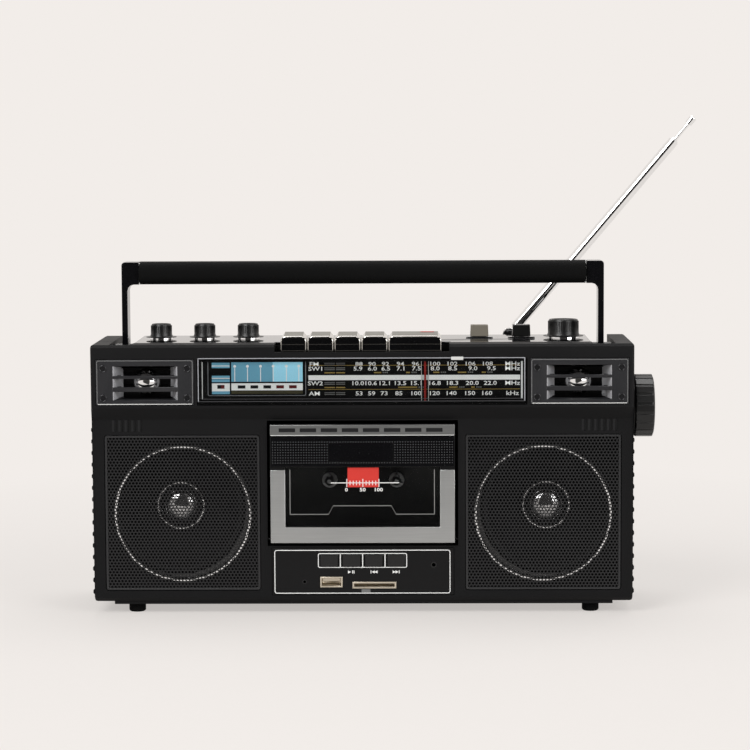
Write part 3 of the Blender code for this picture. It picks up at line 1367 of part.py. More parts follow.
def arm_outline(side):
    """An arm from the front: upright from the pivot, then turned in at the top, with a round inner corner."""
    low_z, high_z = around(GRIP_CENTRE_Z, GRIP_HEIGHT)
    inner_x = ARM_OUTER_X - ARM_THICKNESS
    end_x = GRIP_HALF_LENGTH + GAP
    points = [(ARM_OUTER_X, HANDLE_PIVOT_Z)]
    corner_steps = 3
    for step in range(corner_steps + 1):
        angle = math.radians(90) * step / corner_steps
        points.append((
            ARM_OUTER_X - ARM_CORNER * (1 - math.cos(angle)),
            high_z - ARM_CORNER * (1 - math.sin(angle)),
        ))
    points += [(end_x, high_z), (end_x, low_z)]
    for step in range(corner_steps + 1):
        angle = math.radians(90) * step / corner_steps
        points.append((
            inner_x - ARM_FILLET * (1 - math.sin(angle)),
            low_z - ARM_FILLET * (1 - math.cos(angle)),
        ))
    points.append((inner_x, HANDLE_PIVOT_Z))
    return [(side * x, z) for x, z in points]


def make_handle():
    """The folding handle: two bright arms that turn on pins in the channels, and the soft grip between them."""
    pivot = (0, HANDLE_PIVOT_Y, HANDLE_PIVOT_Z)
    grip_z = around(GRIP_CENTRE_Z, GRIP_HEIGHT)
    outline = rounded(around(HANDLE_PIVOT_Y, GRIP_DEPTH), grip_z, GRIP_CORNER, 4)
    middle = (0, HANDLE_PIVOT_Y, GRIP_CENTRE_Z)
    sockets = together(*(
        rod(
            PEG_RADIUS + GAP,
            "X",
            middle,
            on_side(side, GRIP_HALF_LENGTH - PEG_LENGTH - GAP, GRIP_HALF_LENGTH + OVERRUN),
            FINE_SIDES,
        )
        for side in SIDES.values()
    ))
    grip_shape = prism(outline, "X", (-GRIP_HALF_LENGTH, GRIP_HALF_LENGTH))
    pieces = [piece("handle_grip", grip_shape, SOFT_BLACK, [("cut", sockets)], origin=pivot)]
    arm_y = around(HANDLE_PIVOT_Y, ARM_DEPTH)
    for label, side in SIDES.items():
        inner_x = ARM_OUTER_X - ARM_THICKNESS
        foot = rod(ARM_DEPTH / 2, "X", pivot, on_side(side, inner_x, ARM_OUTER_X))
        boss_span = on_side(side, CHANNEL_INNER_X + GAP, CHANNEL_OUTER_X - GAP)
        boss = rod(ARM_BOSS_RADIUS, "X", pivot, boss_span, FINE_SIDES)
        pin_span = on_side(side, CHANNEL_INNER_X - ARM_PIN_REACH, CHANNEL_OUTER_X + ARM_PIN_REACH)
        pin = rod(ARM_PIN_RADIUS, "X", pivot, pin_span, FINE_SIDES)
        peg_span = on_side(side, GRIP_HALF_LENGTH - PEG_LENGTH, GRIP_HALF_LENGTH + 2 * GAP)
        peg = rod(PEG_RADIUS, "X", middle, peg_span, FINE_SIDES)
        steps = [("join", foot), ("join", boss), ("join", pin), ("join", peg)]
        arm_shape = prism(arm_outline(side), "Y", arm_y)
        pieces.append(piece(f"handle_arm_{label}", arm_shape, GLOSS_BLACK, steps, origin=pivot))
    carrier("handle_axis", pivot, pieces)


def make_aerial_bracket():
    """The swivel: a pin and collar on the cabinet's lug, and a fork with the tilt pin across it."""
    half_gap = TONGUE_THICKNESS / 2 + GAP
    ear_reach = half_gap + EAR_THICKNESS
    collar = rod(
        COLLAR_RADIUS, "Z", (AERIAL_X, AERIAL_Y, 0), (COLLAR_LOW_Z, COLLAR_HIGH_Z + GAP), FINE_SIDES
    )
    pin = rod(SWIVEL_PIN_RADIUS, "Z", (AERIAL_X, AERIAL_Y, 0), (LUG_LOW_Z, COLLAR_LOW_Z + GAP), FINE_SIDES)
    fork_floor = box(
        around(AERIAL_X, 2 * EAR_RADIUS),
        around(AERIAL_Y, 2 * ear_reach),
        (COLLAR_HIGH_Z, FORK_FLOOR_Z),
    )
    steps = [("join", pin), ("join", fork_floor)]
    ear_steps = 6
    for side in SIDES.values():
        outline = [(AERIAL_X - EAR_RADIUS, FORK_FLOOR_Z - GAP), (AERIAL_X + EAR_RADIUS, FORK_FLOOR_Z - GAP)]
        for step in range(ear_steps + 1):
            angle = math.radians(180) * step / ear_steps
            outline.append((
                AERIAL_X + EAR_RADIUS * math.cos(angle),
                AERIAL_Z + EAR_RADIUS * math.sin(angle),
            ))
        near, far = sorted((AERIAL_Y + side * half_gap, AERIAL_Y + side * ear_reach))
        steps.append(("join", prism(outline, "Y", (near, far))))
    tilt_pin = rod(
        TILT_PIN_RADIUS,
        "Y",
        (AERIAL_X, AERIAL_Y, AERIAL_Z),
        (-half_gap - EAR_THICKNESS / 2, half_gap + EAR_THICKNESS / 2),
        12,
    )
    steps.append(("join", tilt_pin))
    origin = (AERIAL_X, AERIAL_Y, COLLAR_LOW_Z)
    return piece("antenna_bracket", collar, CHROME, steps, origin=origin)


def tube_profile(radius, bore, start, end, floor):
    """A tube along +Z, closed at its lower end."""
    return ((0, start), (radius, start), (radius, end), (bore, end), (bore, floor), (0, floor))


def make_aerial():
    """The tilting rod: an outer tube with a flat tongue on the tilt pin, two sections in it, and the tip."""
    make_aerial_bracket()
    at_pivot = (0, 0, 0)
    bore = AERIAL_RADIUS - AERIAL_WALL
    tube = turned(
        tube_profile(AERIAL_RADIUS, bore, AERIAL_START, AERIAL_END, AERIAL_BORE_START),
        "Z",
        at_pivot,
        FINE_SIDES,
    )
    thickness = around(0, TONGUE_THICKNESS)
    tongue = box(around(0, 2 * TILT_PIN_RADIUS), thickness, (0, TONGUE_LENGTH))
    eye = rod(TONGUE_RADIUS, "Y", at_pivot, thickness, FINE_SIDES)
    pin_hole = rod(TILT_PIN_RADIUS + GAP, "Y", at_pivot, around(0, TONGUE_THICKNESS + OVERRUN), FINE_SIDES)
    steps = [("join", tongue), ("join", eye), ("cut", pin_hole)]
    pieces = [aerial_piece("antenna_tube", tube, steps)]
    outer = bore - GAP
    start = AERIAL_BORE_START + GAP
    end = AERIAL_END + AERIAL_STEP
    for number in (1, 2):
        bore = outer - AERIAL_WALL
        floor = start + AERIAL_STEP
        profile = tube_profile(outer, bore, start, end, floor)
        pieces.append(aerial_piece(f"antenna_section_{number}", turned(profile, "Z", at_pivot, FINE_SIDES)))
        outer = bore - GAP
        start = floor + GAP
        end += AERIAL_STEP
    cap_start = AERIAL_END + TIP_REACH
    cap_end = cap_start + TIP_CAP_LENGTH
    tip = (
        (0, start + TIP_PUSH),
        (outer, start + TIP_PUSH),
        (outer, cap_start),
        (TIP_CAP_RADIUS, cap_start),
        (TIP_CAP_RADIUS, cap_end - TIP_CAP_EDGE),
        (TIP_CAP_RADIUS - TIP_CAP_EDGE, cap_end),
        (0, cap_end),
    )
    pieces.append(aerial_piece("antenna_tip", turned(tip, "Z", at_pivot, FINE_SIDES)))
    axis = carrier("antenna_tilt_axis", (0, 0, 0), pieces)
    axis.location = (AERIAL_X, AERIAL_Y, AERIAL_Z)
    axis.rotation_euler = (0, math.radians(90) - AERIAL_LEAN, 0)


def aerial_piece(name, shape, steps=()):
    """A piece drawn along +Z from the tilt pin. Its tools turn with it."""
    made = piece(name, shape, CHROME, steps)
    for modifier in made.modifiers:
        modifier.object.parent = made
    return made


def make_foot(label, side, y):
    """A domed rubber foot with a stem into the base."""
    top = PAD_HEIGHT - GAP
    low = top - FOOT_HEIGHT
    profile = (
        (0, low),
        (FOOT_RADIUS - FOOT_EDGE, low),
        (FOOT_RADIUS, low + FOOT_EDGE),
        (FOOT_RADIUS, top),
        (FOOT_STEM_RADIUS, top),
        (FOOT_STEM_RADIUS, top + FOOT_STEM_HEIGHT),
        (0, top + FOOT_STEM_HEIGHT),
    )
    centre = (side * FOOT_X, y, 0)
    piece(f"foot_{label}", turned(profile, "Z", centre, FINE_SIDES), SOFT_BLACK, origin=centre)


def make_power():
    """The battery door, the mains inlet and the transformer that stands inside near it."""
    margin = BATTERY_DOOR_MARGIN
    low_z = BATTERY_LOW_Z - margin
    door = box(
        around(0, 2 * (BATTERY_HALF_WIDTH + margin)),
        (REAR_Y - BATTERY_DOOR_THICKNESS, REAR_Y),
        (low_z, BATTERY_HIGH_Z + margin),
    )
    piece("battery_door", door, BLACK_PLASTIC, origin=(0, REAR_Y, low_z))
    flange_y = (REAR_Y + GAP, REAR_Y + GAP + INLET_FLANGE_THICKNESS)
    flange = port_box(INLET_X, INLET_Z, INLET_WIDTH, INLET_HEIGHT, INLET_FLANGE_REACH, flange_y)
    body_y = (REAR_Y - INLET_DEPTH, flange_y[1] - GAP)
    body = port_box(INLET_X, INLET_Z, INLET_WIDTH, INLET_HEIGHT, 0, body_y)
    socket_y = (flange_y[1] - INLET_SOCKET_DEPTH, flange_y[1] + OVERRUN)
    socket = port_box(INLET_X, INLET_Z, INLET_WIDTH, INLET_HEIGHT, -INLET_WALL, socket_y)
    piece("mains_inlet", flange, GLOSS_BLACK, [("join", body), ("cut", socket)])
    low_z = FLOOR_Z + GAP
    core = box(
        around(TRANSFORMER_X, TRANSFORMER_WIDTH),
        around(TRANSFORMER_Y, TRANSFORMER_DEPTH),
        (low_z, low_z + TRANSFORMER_HEIGHT),
    )
    coil = box(
        around(TRANSFORMER_X, COIL_WIDTH),
        around(TRANSFORMER_Y, COIL_DEPTH),
        around(low_z + TRANSFORMER_HEIGHT / 2, COIL_HEIGHT),
    )
    piece("transformer", core, COPPER, [("join", coil)])


def main():
    clear_scene()
    make_front_shell()
    make_rear_shell()
    make_top_plate()
    for label, side in SIDES.items():
        make_grille(label, side)
        make_speaker(label, side)
        make_tweeter(label, side)
        make_spindle(label, side)
        make_foot(f"front_{label}", side, FOOT_FRONT_Y)
        make_foot(f"rear_{label}", side, FOOT_REAR_Y)
    make_tuner()
    make_tuning_knob()
    make_cassette_door()
    make_deck()
    for index in range(len(KEY_NAMES)):
        make_key(index)
    make_player_panel()
    for index in range(len(BUTTON_NAMES)):
        make_button(index)
    make_ports()
    for index, name in enumerate(SMALL_KNOB_NAMES):
        make_knob(name, SMALL_KNOB_FIRST_X + index * SMALL_KNOB_PITCH, SMALL_KNOB_RADIUS, SMALL_KNOB_HEIGHT)
    make_knob("knob_band", BAND_KNOB_X, BAND_KNOB_RADIUS, BAND_KNOB_HEIGHT)
    make_slide("slide_function", FUNCTION_SLIDE_X, SLIDE_GREY)
    make_slide("slide_mode", MODE_SLIDE_X, BLACK_PLASTIC)
    make_handle()
    make_aerial()
    make_power()


main()
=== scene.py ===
"""The look of a portable stereo radio cassette player: its mouldings, grilles, dial, door, knobs, handle and aerial,
made round the packed model, which is loaded as a fixed frame. All lengths are metres unless a name or table says mm."""

import json
import math

import bmesh
import bpy
from bpy.props import FloatProperty, FloatVectorProperty, IntProperty, PointerProperty
from mathutils import Matrix, Vector

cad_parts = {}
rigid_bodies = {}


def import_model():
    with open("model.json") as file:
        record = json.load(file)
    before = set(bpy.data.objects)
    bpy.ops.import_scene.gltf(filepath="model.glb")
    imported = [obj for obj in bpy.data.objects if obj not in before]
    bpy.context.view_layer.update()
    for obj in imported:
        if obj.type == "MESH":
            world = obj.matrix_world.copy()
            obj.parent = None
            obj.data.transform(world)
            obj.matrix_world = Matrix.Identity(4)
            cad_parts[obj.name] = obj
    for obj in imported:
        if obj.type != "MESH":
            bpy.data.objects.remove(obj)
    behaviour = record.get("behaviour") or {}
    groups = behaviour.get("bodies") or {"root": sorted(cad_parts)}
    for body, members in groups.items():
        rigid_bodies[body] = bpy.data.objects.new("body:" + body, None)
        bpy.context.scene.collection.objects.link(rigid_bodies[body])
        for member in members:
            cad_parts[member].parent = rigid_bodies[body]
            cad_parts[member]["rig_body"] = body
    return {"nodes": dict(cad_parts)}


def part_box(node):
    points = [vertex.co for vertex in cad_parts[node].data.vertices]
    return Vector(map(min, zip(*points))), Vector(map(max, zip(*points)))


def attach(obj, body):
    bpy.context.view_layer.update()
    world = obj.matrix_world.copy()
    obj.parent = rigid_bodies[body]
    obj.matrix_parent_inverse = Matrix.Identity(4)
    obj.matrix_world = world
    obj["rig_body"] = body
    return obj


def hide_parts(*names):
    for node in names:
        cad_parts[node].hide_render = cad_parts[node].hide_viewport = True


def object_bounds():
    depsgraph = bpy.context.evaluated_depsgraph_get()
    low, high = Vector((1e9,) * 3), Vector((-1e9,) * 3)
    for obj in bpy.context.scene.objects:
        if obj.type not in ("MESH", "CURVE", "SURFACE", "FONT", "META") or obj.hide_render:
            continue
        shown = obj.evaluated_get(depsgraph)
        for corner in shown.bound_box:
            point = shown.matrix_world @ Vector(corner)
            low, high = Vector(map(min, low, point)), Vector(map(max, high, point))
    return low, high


bl_info = {
    "name": "Portable stereo looks",
    "version": (1, 0, 0),
    "blender": (4, 5, 0),
    "location": "3D View > Sidebar > Stereo",
    "description": "Dresses the packed model of a portable radio cassette player",
    "category": "Object",
}

for startup_object in list(bpy.data.objects):
    bpy.data.objects.remove(startup_object)
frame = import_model()
CAD_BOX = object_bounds()

MM = 0.001
SIDES = {"left": -1, "right": 1}
TOP_Z = 165.8


def mm(*values):
    """Millimetres to metres, for one length or several."""
    scaled = tuple(value * MM for value in values)
    return scaled if len(scaled) > 1 else scaled[0]


def screen(*values):
    """A colour given as it looks on a screen, 0 to 255, as Blender's linear red, green and blue."""
    shares = [value / 255 for value in values]
    return tuple(s / 12.92 if s <= 0.04045 else ((s + 0.055) / 1.055) ** 2.4 for s in shares)


BACKGROUND = screen(242, 237, 233)


# ---------------------------------------------------------------- sizes and colours a user may change


def length(name, description, default):
    return FloatProperty(name=name, description=description, default=default, unit="LENGTH", precision=5, min=0.0)


def colour(name, description, *values):
    return FloatVectorProperty(
        name=name, description=description, default=screen(*values), subtype="COLOR", size=3, min=0.0, max=1.0
    )


class CabinetLook(bpy.types.PropertyGroup):
    """The moulded cabinet."""

    plastic: colour("Cabinet", "Colour of the textured cabinet plastic", 14, 14, 15)
    gloss: colour("Gloss parts", "Colour of the glossy parts", 9, 9, 11)
    soft: colour("Soft parts", "Colour of the grip, knobs and feet", 9, 9, 9)
    edge: length("Edge rounding", "Width of the rounding on the cabinet's edges", 0.0009)
    rib_step: length("Side rib step", "Height from one side rib to the next", 0.00735)
    ribs: IntProperty(name="Side ribs", description="Ribs on each side wall", default=15, min=1)


class SoundLook(bpy.types.PropertyGroup):
    """Grilles and speakers."""

    hole_step: length("Hole step", "Distance between neighbouring holes of the grille", 0.00218)
    hole_radius: length("Hole radius", "Radius of a hole in the grille", 0.00084)
    paint: colour("Grille", "Colour of the grille's paint", 30, 30, 31)
    cone: colour("Cone", "Colour of the speaker cone", 9, 9, 10)


class DialLook(bpy.types.PropertyGroup):
    """Tuner dial and indicator."""

    panel: colour("Panel", "Colour of the dial's dark panel", 7, 7, 9)
    white_ink: colour("White ink", "Colour of the white print", 226, 226, 224)
    gold_ink: colour("Gold ink", "Colour of the gold print", 190, 160, 80)
    blue_ink: colour("Blue", "Colour of the indicator panel", 96, 153, 177)
    pale_blue_ink: colour("Pale blue", "Colour of the indicator panel's bright end", 150, 211, 233)
    olive_ink: colour("Olive", "Colour of the strip below the indicator", 84, 79, 54)
    red: colour("Red", "Colour of the red patch and the pointer", 186, 38, 27)


class DeckLook(bpy.types.PropertyGroup):
    """Cassette door and keys."""

    silver: colour("Door silver", "Colour of the brushed door frame", 176, 177, 176)
    plating: colour("Plating", "Colour of the plated keys", 205, 202, 196)
    port: colour("Ports", "Colour of the port shells", 216, 206, 188)


LOOKS = {"cabinet": CabinetLook, "sound": SoundLook, "dial": DialLook, "deck": DeckLook}


def look(group):
    """The settings of one group, from the scene."""
    return getattr(bpy.context.scene, "stereo_" + group)


# ---------------------------------------------------------------- node trees


class Value:
    """A socket in a node tree. Arithmetic on it adds Math nodes."""

    def __init__(self, tree, socket):
        self.tree, self.socket = tree, socket

    def math(self, operation, *others, first=None):
        inputs = {0: self if first is None else first}
        inputs.update({place + 1: other for place, other in enumerate(others)})
        return self.tree.node("ShaderNodeMath", {"operation": operation}, inputs)

    def __add__(self, other):
        return self.math("ADD", other)

    def __sub__(self, other):
        return self.math("SUBTRACT", other)

    def __rsub__(self, other):
        return self.math("SUBTRACT", self, first=other)

    def __mul__(self, other):
        return self.math("MULTIPLY", other)

    def __truediv__(self, other):
        return self.math("DIVIDE", other)

    def __mod__(self, other):
        return self.math("MODULO", other)

    def __gt__(self, other):
        return self.math("GREATER_THAN", other)

    def clamped(self):
        return self.math("MINIMUM", 1.0).math("MAXIMUM", 0.0)

    def floor(self):
        return self.math("FLOOR")

    __radd__, __rmul__ = __add__, __mul__


class Tree:
    """A node tree under construction."""

    def __init__(self, tree):
        self.tree = tree

    def node(self, kind, settings=(), inputs=(), output=0):
        """Adds a node, sets what it is, then feeds its sockets with values or other nodes' outputs."""
        made = self.tree.nodes.new(kind)
        for name, value in dict(settings).items():
            if name == "stops":
                ramp = made.color_ramp.elements
                while len(ramp) < len(value):
                    ramp.new(1.0)
                for stop, (position, tint) in zip(ramp, value):
                    stop.position, stop.color = position, (*tint, 1.0)
            else:
                setattr(made, name, value)
        for name, value in dict(inputs).items():
            socket = made.inputs[name]
            if isinstance(value, Value):
                self.tree.links.new(value.socket, socket)
            else:
                socket.default_value = value
        return Value(self, made.outputs[output])

    def vector(self, operation, *operands, scale=None):
        inputs = dict(enumerate(operands))
        if scale is not None:
            inputs["Scale"] = scale
        return self.node("ShaderNodeVectorMath", {"operation": operation}, inputs)


class Finish(Tree):
    """A material under construction. Its patterns read the piece's own coordinates."""

    def __init__(self, name):
        self.material = bpy.data.materials.new(name)
        self.material.use_nodes = True
        super().__init__(self.material.node_tree)
        self.tree.nodes.clear()
        self.place = self.node("ShaderNodeTexCoord", output="Object")

    def stretched(self, *scale):
        """The coordinates scaled differently along each axis, for brushed or drawn surfaces."""
        return self.node("ShaderNodeMapping", {}, {"Vector": self.place, "Scale": scale})

    def noise(self, scale, detail=2.0, roughness=0.5, place=None):
        return self.node(
            "ShaderNodeTexNoise",
            {},
            {"Vector": place or self.place, "Scale": scale, "Detail": detail, "Roughness": roughness},
        )

    def mix(self, share, first, second):
        """A colour between two colours."""
        return self.node(
            "ShaderNodeMix",
            {"data_type": "RGBA"},
            {0: share, 6: opaque(first), 7: opaque(second)},
            output=2,
        )

    def bump(self, height, strength, depth):
        return self.node("ShaderNodeBump", {}, {"Height": height, "Strength": strength, "Distance": depth})

    def coat(self, **sockets):
        """A Principled shader; an underscore in a name stands for a space."""
        named = {name.replace("_", " "): value for name, value in sockets.items()}
        base = named.get("Base Color")
        if base is not None:
            named["Base Color"] = opaque(base)
        return self.node("ShaderNodeBsdfPrincipled", {}, named)

    def done(self, shader):
        result = self.tree.nodes.new("ShaderNodeOutputMaterial")
        self.tree.links.new(shader.socket, result.inputs["Surface"])
        return self.material


def opaque(tint):
    return tint if isinstance(tint, Value) else (*tuple(tint)[:3], 1.0)


def shaded(tint, share):
    return tuple(min(1.0, channel * share) for channel in tuple(tint)[:3])


# ---------------------------------------------------------------- finishes


MOTTLE = 0.12
BRUSH_STRETCH = (40.0, 900.0, 4200.0)


def moulded(name, tint, roughness=0.42, grain=2600, grain_depth=0.00006, gloss=0.3):
    """Moulded or painted plastic: a fine grain, a slow change of shade, and dull patches from handling."""
    made = Finish(name)
    fine = made.noise(grain, 3.0)
    handled = made.noise(38.0, 4.0)
    base = made.mix(handled, shaded(tint, 1 - MOTTLE), shaded(tint, 1 + MOTTLE))
    rough = (handled - 0.5) * 0.16 + (fine - 0.5) * 0.10 + roughness
    return made.done(
        made.coat(
            Base_Color=base,
            Roughness=rough,
            Normal=made.bump(fine, 0.35, grain_depth),
            Specular_IOR_Level=gloss,
        )
    )


def polished(name, tint, roughness=0.12, gloss=0.5):
    """Glossy plastic with a faint ripple from the mould and fine dust in its shine."""
    made = Finish(name)
    ripple = made.noise(55.0, 2.0)
    dust = made.noise(900.0, 4.0, 0.7)
    rough = roughness + ripple * 0.05 + (dust > 0.66) * 0.18
    base = made.mix(ripple, shaded(tint, 0.85), shaded(tint, 1.15))
    return made.done(
        made.coat(
            Base_Color=base, Roughness=rough, Normal=made.bump(ripple, 0.12, 0.0002), Specular_IOR_Level=gloss
        )
    )


def metal(name, tint, roughness=0.16, wear=0.12, metallic=1.0):
    """Plated or bare metal: cloudy shine and small scuffs."""
    made = Finish(name)
    cloud = made.noise(70.0, 3.0)
    scuff = made.noise(1500.0, 2.0)
    rough = roughness + (cloud - 0.4) * wear + (scuff - 0.5) * 0.06
    return made.done(
        made.coat(
            Base_Color=made.mix(cloud, shaded(tint, 0.9), shaded(tint, 1.05)),
            Roughness=rough.clamped(),
            Metallic=metallic,
            Normal=made.bump(scuff, 0.08, 0.00004),
        )
    )


def brushed(name, tint, roughness=0.34, metallic=0.75):
    """Silver with fine lines along X, and a slow drift of brightness."""
    made = Finish(name)
    lines = made.noise(1.0, 3.0, 0.6, made.stretched(*BRUSH_STRETCH))
    drift = made.noise(22.0, 2.0)
    share = (lines * 0.7 + drift * 0.3).clamped()
    return made.done(
        made.coat(
            Base_Color=made.mix(share, shaded(tint, 0.78), shaded(tint, 1.18)),
            Roughness=roughness + (lines - 0.5) * 0.2,
            Metallic=metallic,
            Normal=made.bump(lines, 0.18, 0.00005),
        )
    )


def ink(name, tint, roughness=0.5, patchiness=0.06):
    """Printed ink, also used for painted highlights and painted shade: nearly even, with the slight patchiness of a
    screen print.
    """
    made = Finish(name)
    patch = made.noise(420.0, 3.0)
    return made.done(
        made.coat(
            Base_Color=made.mix(patch, shaded(tint, 1 - patchiness), shaded(tint, 1 + patchiness)),
            Roughness=roughness + (patch - 0.5) * 0.1,
            Specular_IOR_Level=0.3,
        )
    )


def ink_with_painted_glow(name, tint, strength):
    """Ink with a painted glow: a soft emission on the print, varying a little, though nothing lights it from behind."""
    made = Finish(name)
    patch = made.noise(60.0, 2.0)
    base = made.mix(patch, shaded(tint, 0.92), shaded(tint, 1.06))
    return made.done(
        made.coat(Base_Color=base, Roughness=0.5 + patch * 0.05, Emission_Color=base, Emission_Strength=strength)
    )


def paper(name, tint):
    """Pressed paper pulp with rings and fibres."""
    made = Finish(name)
    fibre = made.noise(1300.0, 5.0, 0.7)
    broad = made.noise(60.0, 3.0)
    return made.done(
        made.coat(
            Base_Color=made.mix(fibre, shaded(tint, 0.6), shaded(tint, 1.5)),
            Roughness=0.72 + (broad - 0.5) * 0.2,
            Normal=made.bump(fibre, 0.5, 0.0002),
            Specular_IOR_Level=0.25,
        )
    )


def clear(name, haze=0.04):
    """Clear plastic: mostly see-through, with a gloss that grows towards grazing angles and faint haze."""
    made = Finish(name)
    smear = made.noise(30.0, 3.0)
    fresnel = made.node("ShaderNodeFresnel", {}, {"IOR": 1.45})
    through = made.node("ShaderNodeBsdfTransparent", {}, {"Color": (0.97, 0.98, 0.98, 1.0)})
    shine = made.coat(Base_Color=(0.02, 0.02, 0.02), Roughness=0.04 + smear * 0.05)
    share = (fresnel + haze * smear).clamped()
    return made.done(made.node("ShaderNodeMixShader", {}, {0: share, 1: through, 2: shine}))


def fibreboard(name, tint):
    """Circuit board lacquer over a faint weave."""
    made = Finish(name)
    weave = made.node("ShaderNodeTexWave", {}, {"Vector": made.place, "Scale": 900.0, "Distortion": 0.5}, output=1)
    return made.done(
        made.coat(
            Base_Color=made.mix(weave, shaded(tint, 0.85), shaded(tint, 1.1)),
            Roughness=0.35 + weave * 0.1,
            Normal=made.bump(weave, 0.1, 0.00003),
        )
    )


def windings(name):
    """Iron plates edge on, with copper showing between them."""
    made = Finish(name)
    plates = made.node("ShaderNodeTexWave", {}, {"Vector": made.place, "Scale": 300.0, "Distortion": 0.2}, output=1)
    return made.done(
        made.coat(
            Base_Color=made.mix(plates, screen(70, 66, 62), screen(130, 92, 60)),
            Roughness=0.45 + plates * 0.1,
            Metallic=0.7,
            Normal=made.bump(plates, 0.3, 0.0002),
        )
    )


FINISHES = {
    "cabinet_plastic": lambda n: moulded(n, look("cabinet").plastic, 0.58, gloss=0.14),
    "panel_plastic": lambda n: moulded(n, look("cabinet").plastic, 0.34, grain=3800, grain_depth=0.00003, gloss=0.2),
    "gloss_black": lambda n: polished(n, look("cabinet").gloss, 0.1, 0.4),
    "top_gloss": lambda n: polished(n, look("cabinet").gloss, 0.02, 0.9),
    "horn_panel": lambda n: polished(n, screen(38, 38, 40), 0.28, 0.3),
    "horn_wall": lambda n: moulded(n, screen(158, 158, 161), 0.4, grain_depth=0.00002, gloss=0.4),
    "soft_black": lambda n: moulded(n, look("cabinet").soft, 0.8, grain=1800, grain_depth=0.00002, gloss=0.08),
    "knob_black": lambda n: moulded(n, look("cabinet").soft, 0.35, grain=3000, grain_depth=0.00003, gloss=0.4),
    "slide_grey": lambda n: moulded(n, screen(112, 106, 95), 0.45, gloss=0.3),
    "grille_paint": lambda n: moulded(n, look("sound").paint, 0.34, grain=3500, grain_depth=0.00002, gloss=0.35),
    # The rim's colour is the grille paint made lighter: painted light on the folded edge.
    "grille_rim": lambda n: moulded(n, shaded(look("sound").paint, 1.4), 0.36, grain=3500, gloss=0.4),
    "rubber": lambda n: moulded(n, screen(24, 24, 24), 0.5, grain=1500, gloss=0.35),
    "cone_paper": lambda n: paper(n, look("sound").cone),
    "chrome": lambda n: metal(n, (0.86, 0.86, 0.86), 0.07, 0.05),
    "plating": lambda n: metal(n, look("deck").plating, 0.16, 0.08),
    "steel": lambda n: metal(n, (0.55, 0.55, 0.54), 0.32, 0.2),
    "dark_steel": lambda n: metal(n, (0.2, 0.2, 0.2), 0.35, 0.2),
    "key_top": lambda n: metal(n, screen(120, 118, 108), 0.3, 0.1, 0.6),
    "screw_black": lambda n: metal(n, screen(34, 34, 36), 0.3, 0.1, 0.6),
    "horn_black": lambda n: polished(n, screen(6, 6, 7), 0.12, 0.4),
    "trim_dot": lambda n: moulded(n, screen(44, 44, 46), 0.4, gloss=0.4),
    "port_metal": lambda n: metal(n, look("deck").port, 0.3, 0.15, 0.85),
    "door_silver": lambda n: brushed(n, look("deck").silver),
    # The same silver made darker, for the door's top strip: painted shade.
    "door_silver_dark": lambda n: brushed(n, shaded(look("deck").silver, 0.55)),
    # Pale and dim strips stand for edges catching the light: painted highlights. The dim colour also serves the card
    # slot's notch.
    "pale_edge": lambda n: moulded(n, screen(196, 196, 194), 0.35, gloss=0.5),
    "dim_edge": lambda n: moulded(n, screen(104, 104, 104), 0.35, gloss=0.5),
    "dial_panel": lambda n: moulded(n, look("dial").panel, 0.4, grain_depth=0.00001, gloss=0.2),
    "white_ink": lambda n: ink(n, look("dial").white_ink),
    # This white ink is given a painted glow: emission added to print.
    "lit_white": lambda n: ink_with_painted_glow(n, look("dial").white_ink, 0.45),
    # The next three inks also colour painted highlights along the edges of the clear windows.
    "frame_ink": lambda n: ink(n, screen(150, 151, 156)),
    "faint_ink": lambda n: ink(n, screen(58, 58, 60)),
    "grey_ink": lambda n: ink(n, screen(128, 128, 126)),
    "gold_ink": lambda n: ink(n, look("dial").gold_ink),
    "olive_ink": lambda n: ink(n, look("dial").olive_ink),
    "red_ink": lambda n: ink(n, look("dial").red),
    "dark_red": lambda n: ink(n, screen(120, 26, 24)),
    "black_ink": lambda n: ink(n, screen(16, 16, 18)),
    # Painted glow on the indicator's blue panels and the door's red patch: emission added to printed ink.
    "blue_panel": lambda n: ink_with_painted_glow(n, look("dial").blue_ink, 0.5),
    "pale_blue_panel": lambda n: ink_with_painted_glow(n, look("dial").pale_blue_ink, 0.5),
    "red_patch": lambda n: ink_with_painted_glow(n, look("dial").red, 0.15),
    "clear_plastic": lambda n: clear(n),
    "smoky_plastic": lambda n: clear(n, 0.12),
    "board_green": lambda n: fibreboard(n, screen(30, 78, 48)),
    "iron": windings,
}


made_finishes = {}


def finish(name):
    """The material of that name, made once. The packed model brings materials of its own, which aren't used."""
    if name not in made_finishes:
        made_finishes[name] = FINISHES[name](name + "_finish")
    return made_finishes[name]


# ---------------------------------------------------------------- forms


CORNER_STEPS = 5
PRINT_THICKNESS = 0.06
MERGE_DISTANCE = 1e-5
FLAT_DEGREES = 0.6
SHARP_DEGREES = 35
BEVEL_DEGREES = 32


def rectangle(low_x, low_z, high_x, high_z, corner=0.0):
    """Outline of a rectangle, round-cornered if asked, anticlockwise."""
    if corner <= 0:
        return [(low_x, low_z), (high_x, low_z), (high_x, high_z), (low_x, high_z)]
    points = []
    for turn, (x, z) in enumerate(
        [
            (high_x - corner, low_z + corner),
            (high_x - corner, high_z - corner),
            (low_x + corner, high_z - corner),
            (low_x + corner, low_z + corner),
        ]
    ):
        for step in range(CORNER_STEPS + 1):
            angle = math.pi / 2 * (turn - 1 + step / CORNER_STEPS)
            points.append((x + corner * math.cos(angle), z + corner * math.sin(angle)))
    return points


def circle(x, z, radius, steps=32):
    return [
        (x + radius * math.cos(2 * math.pi * step / steps), z + radius * math.sin(2 * math.pi * step / steps))
        for step in range(steps)
    ]


def across(axis, u, v, along):
    """A point from its two places across an axis and its place along it."""
    return {"x": (along, u, v), "y": (u, along, v), "z": (u, v, along)}[axis]


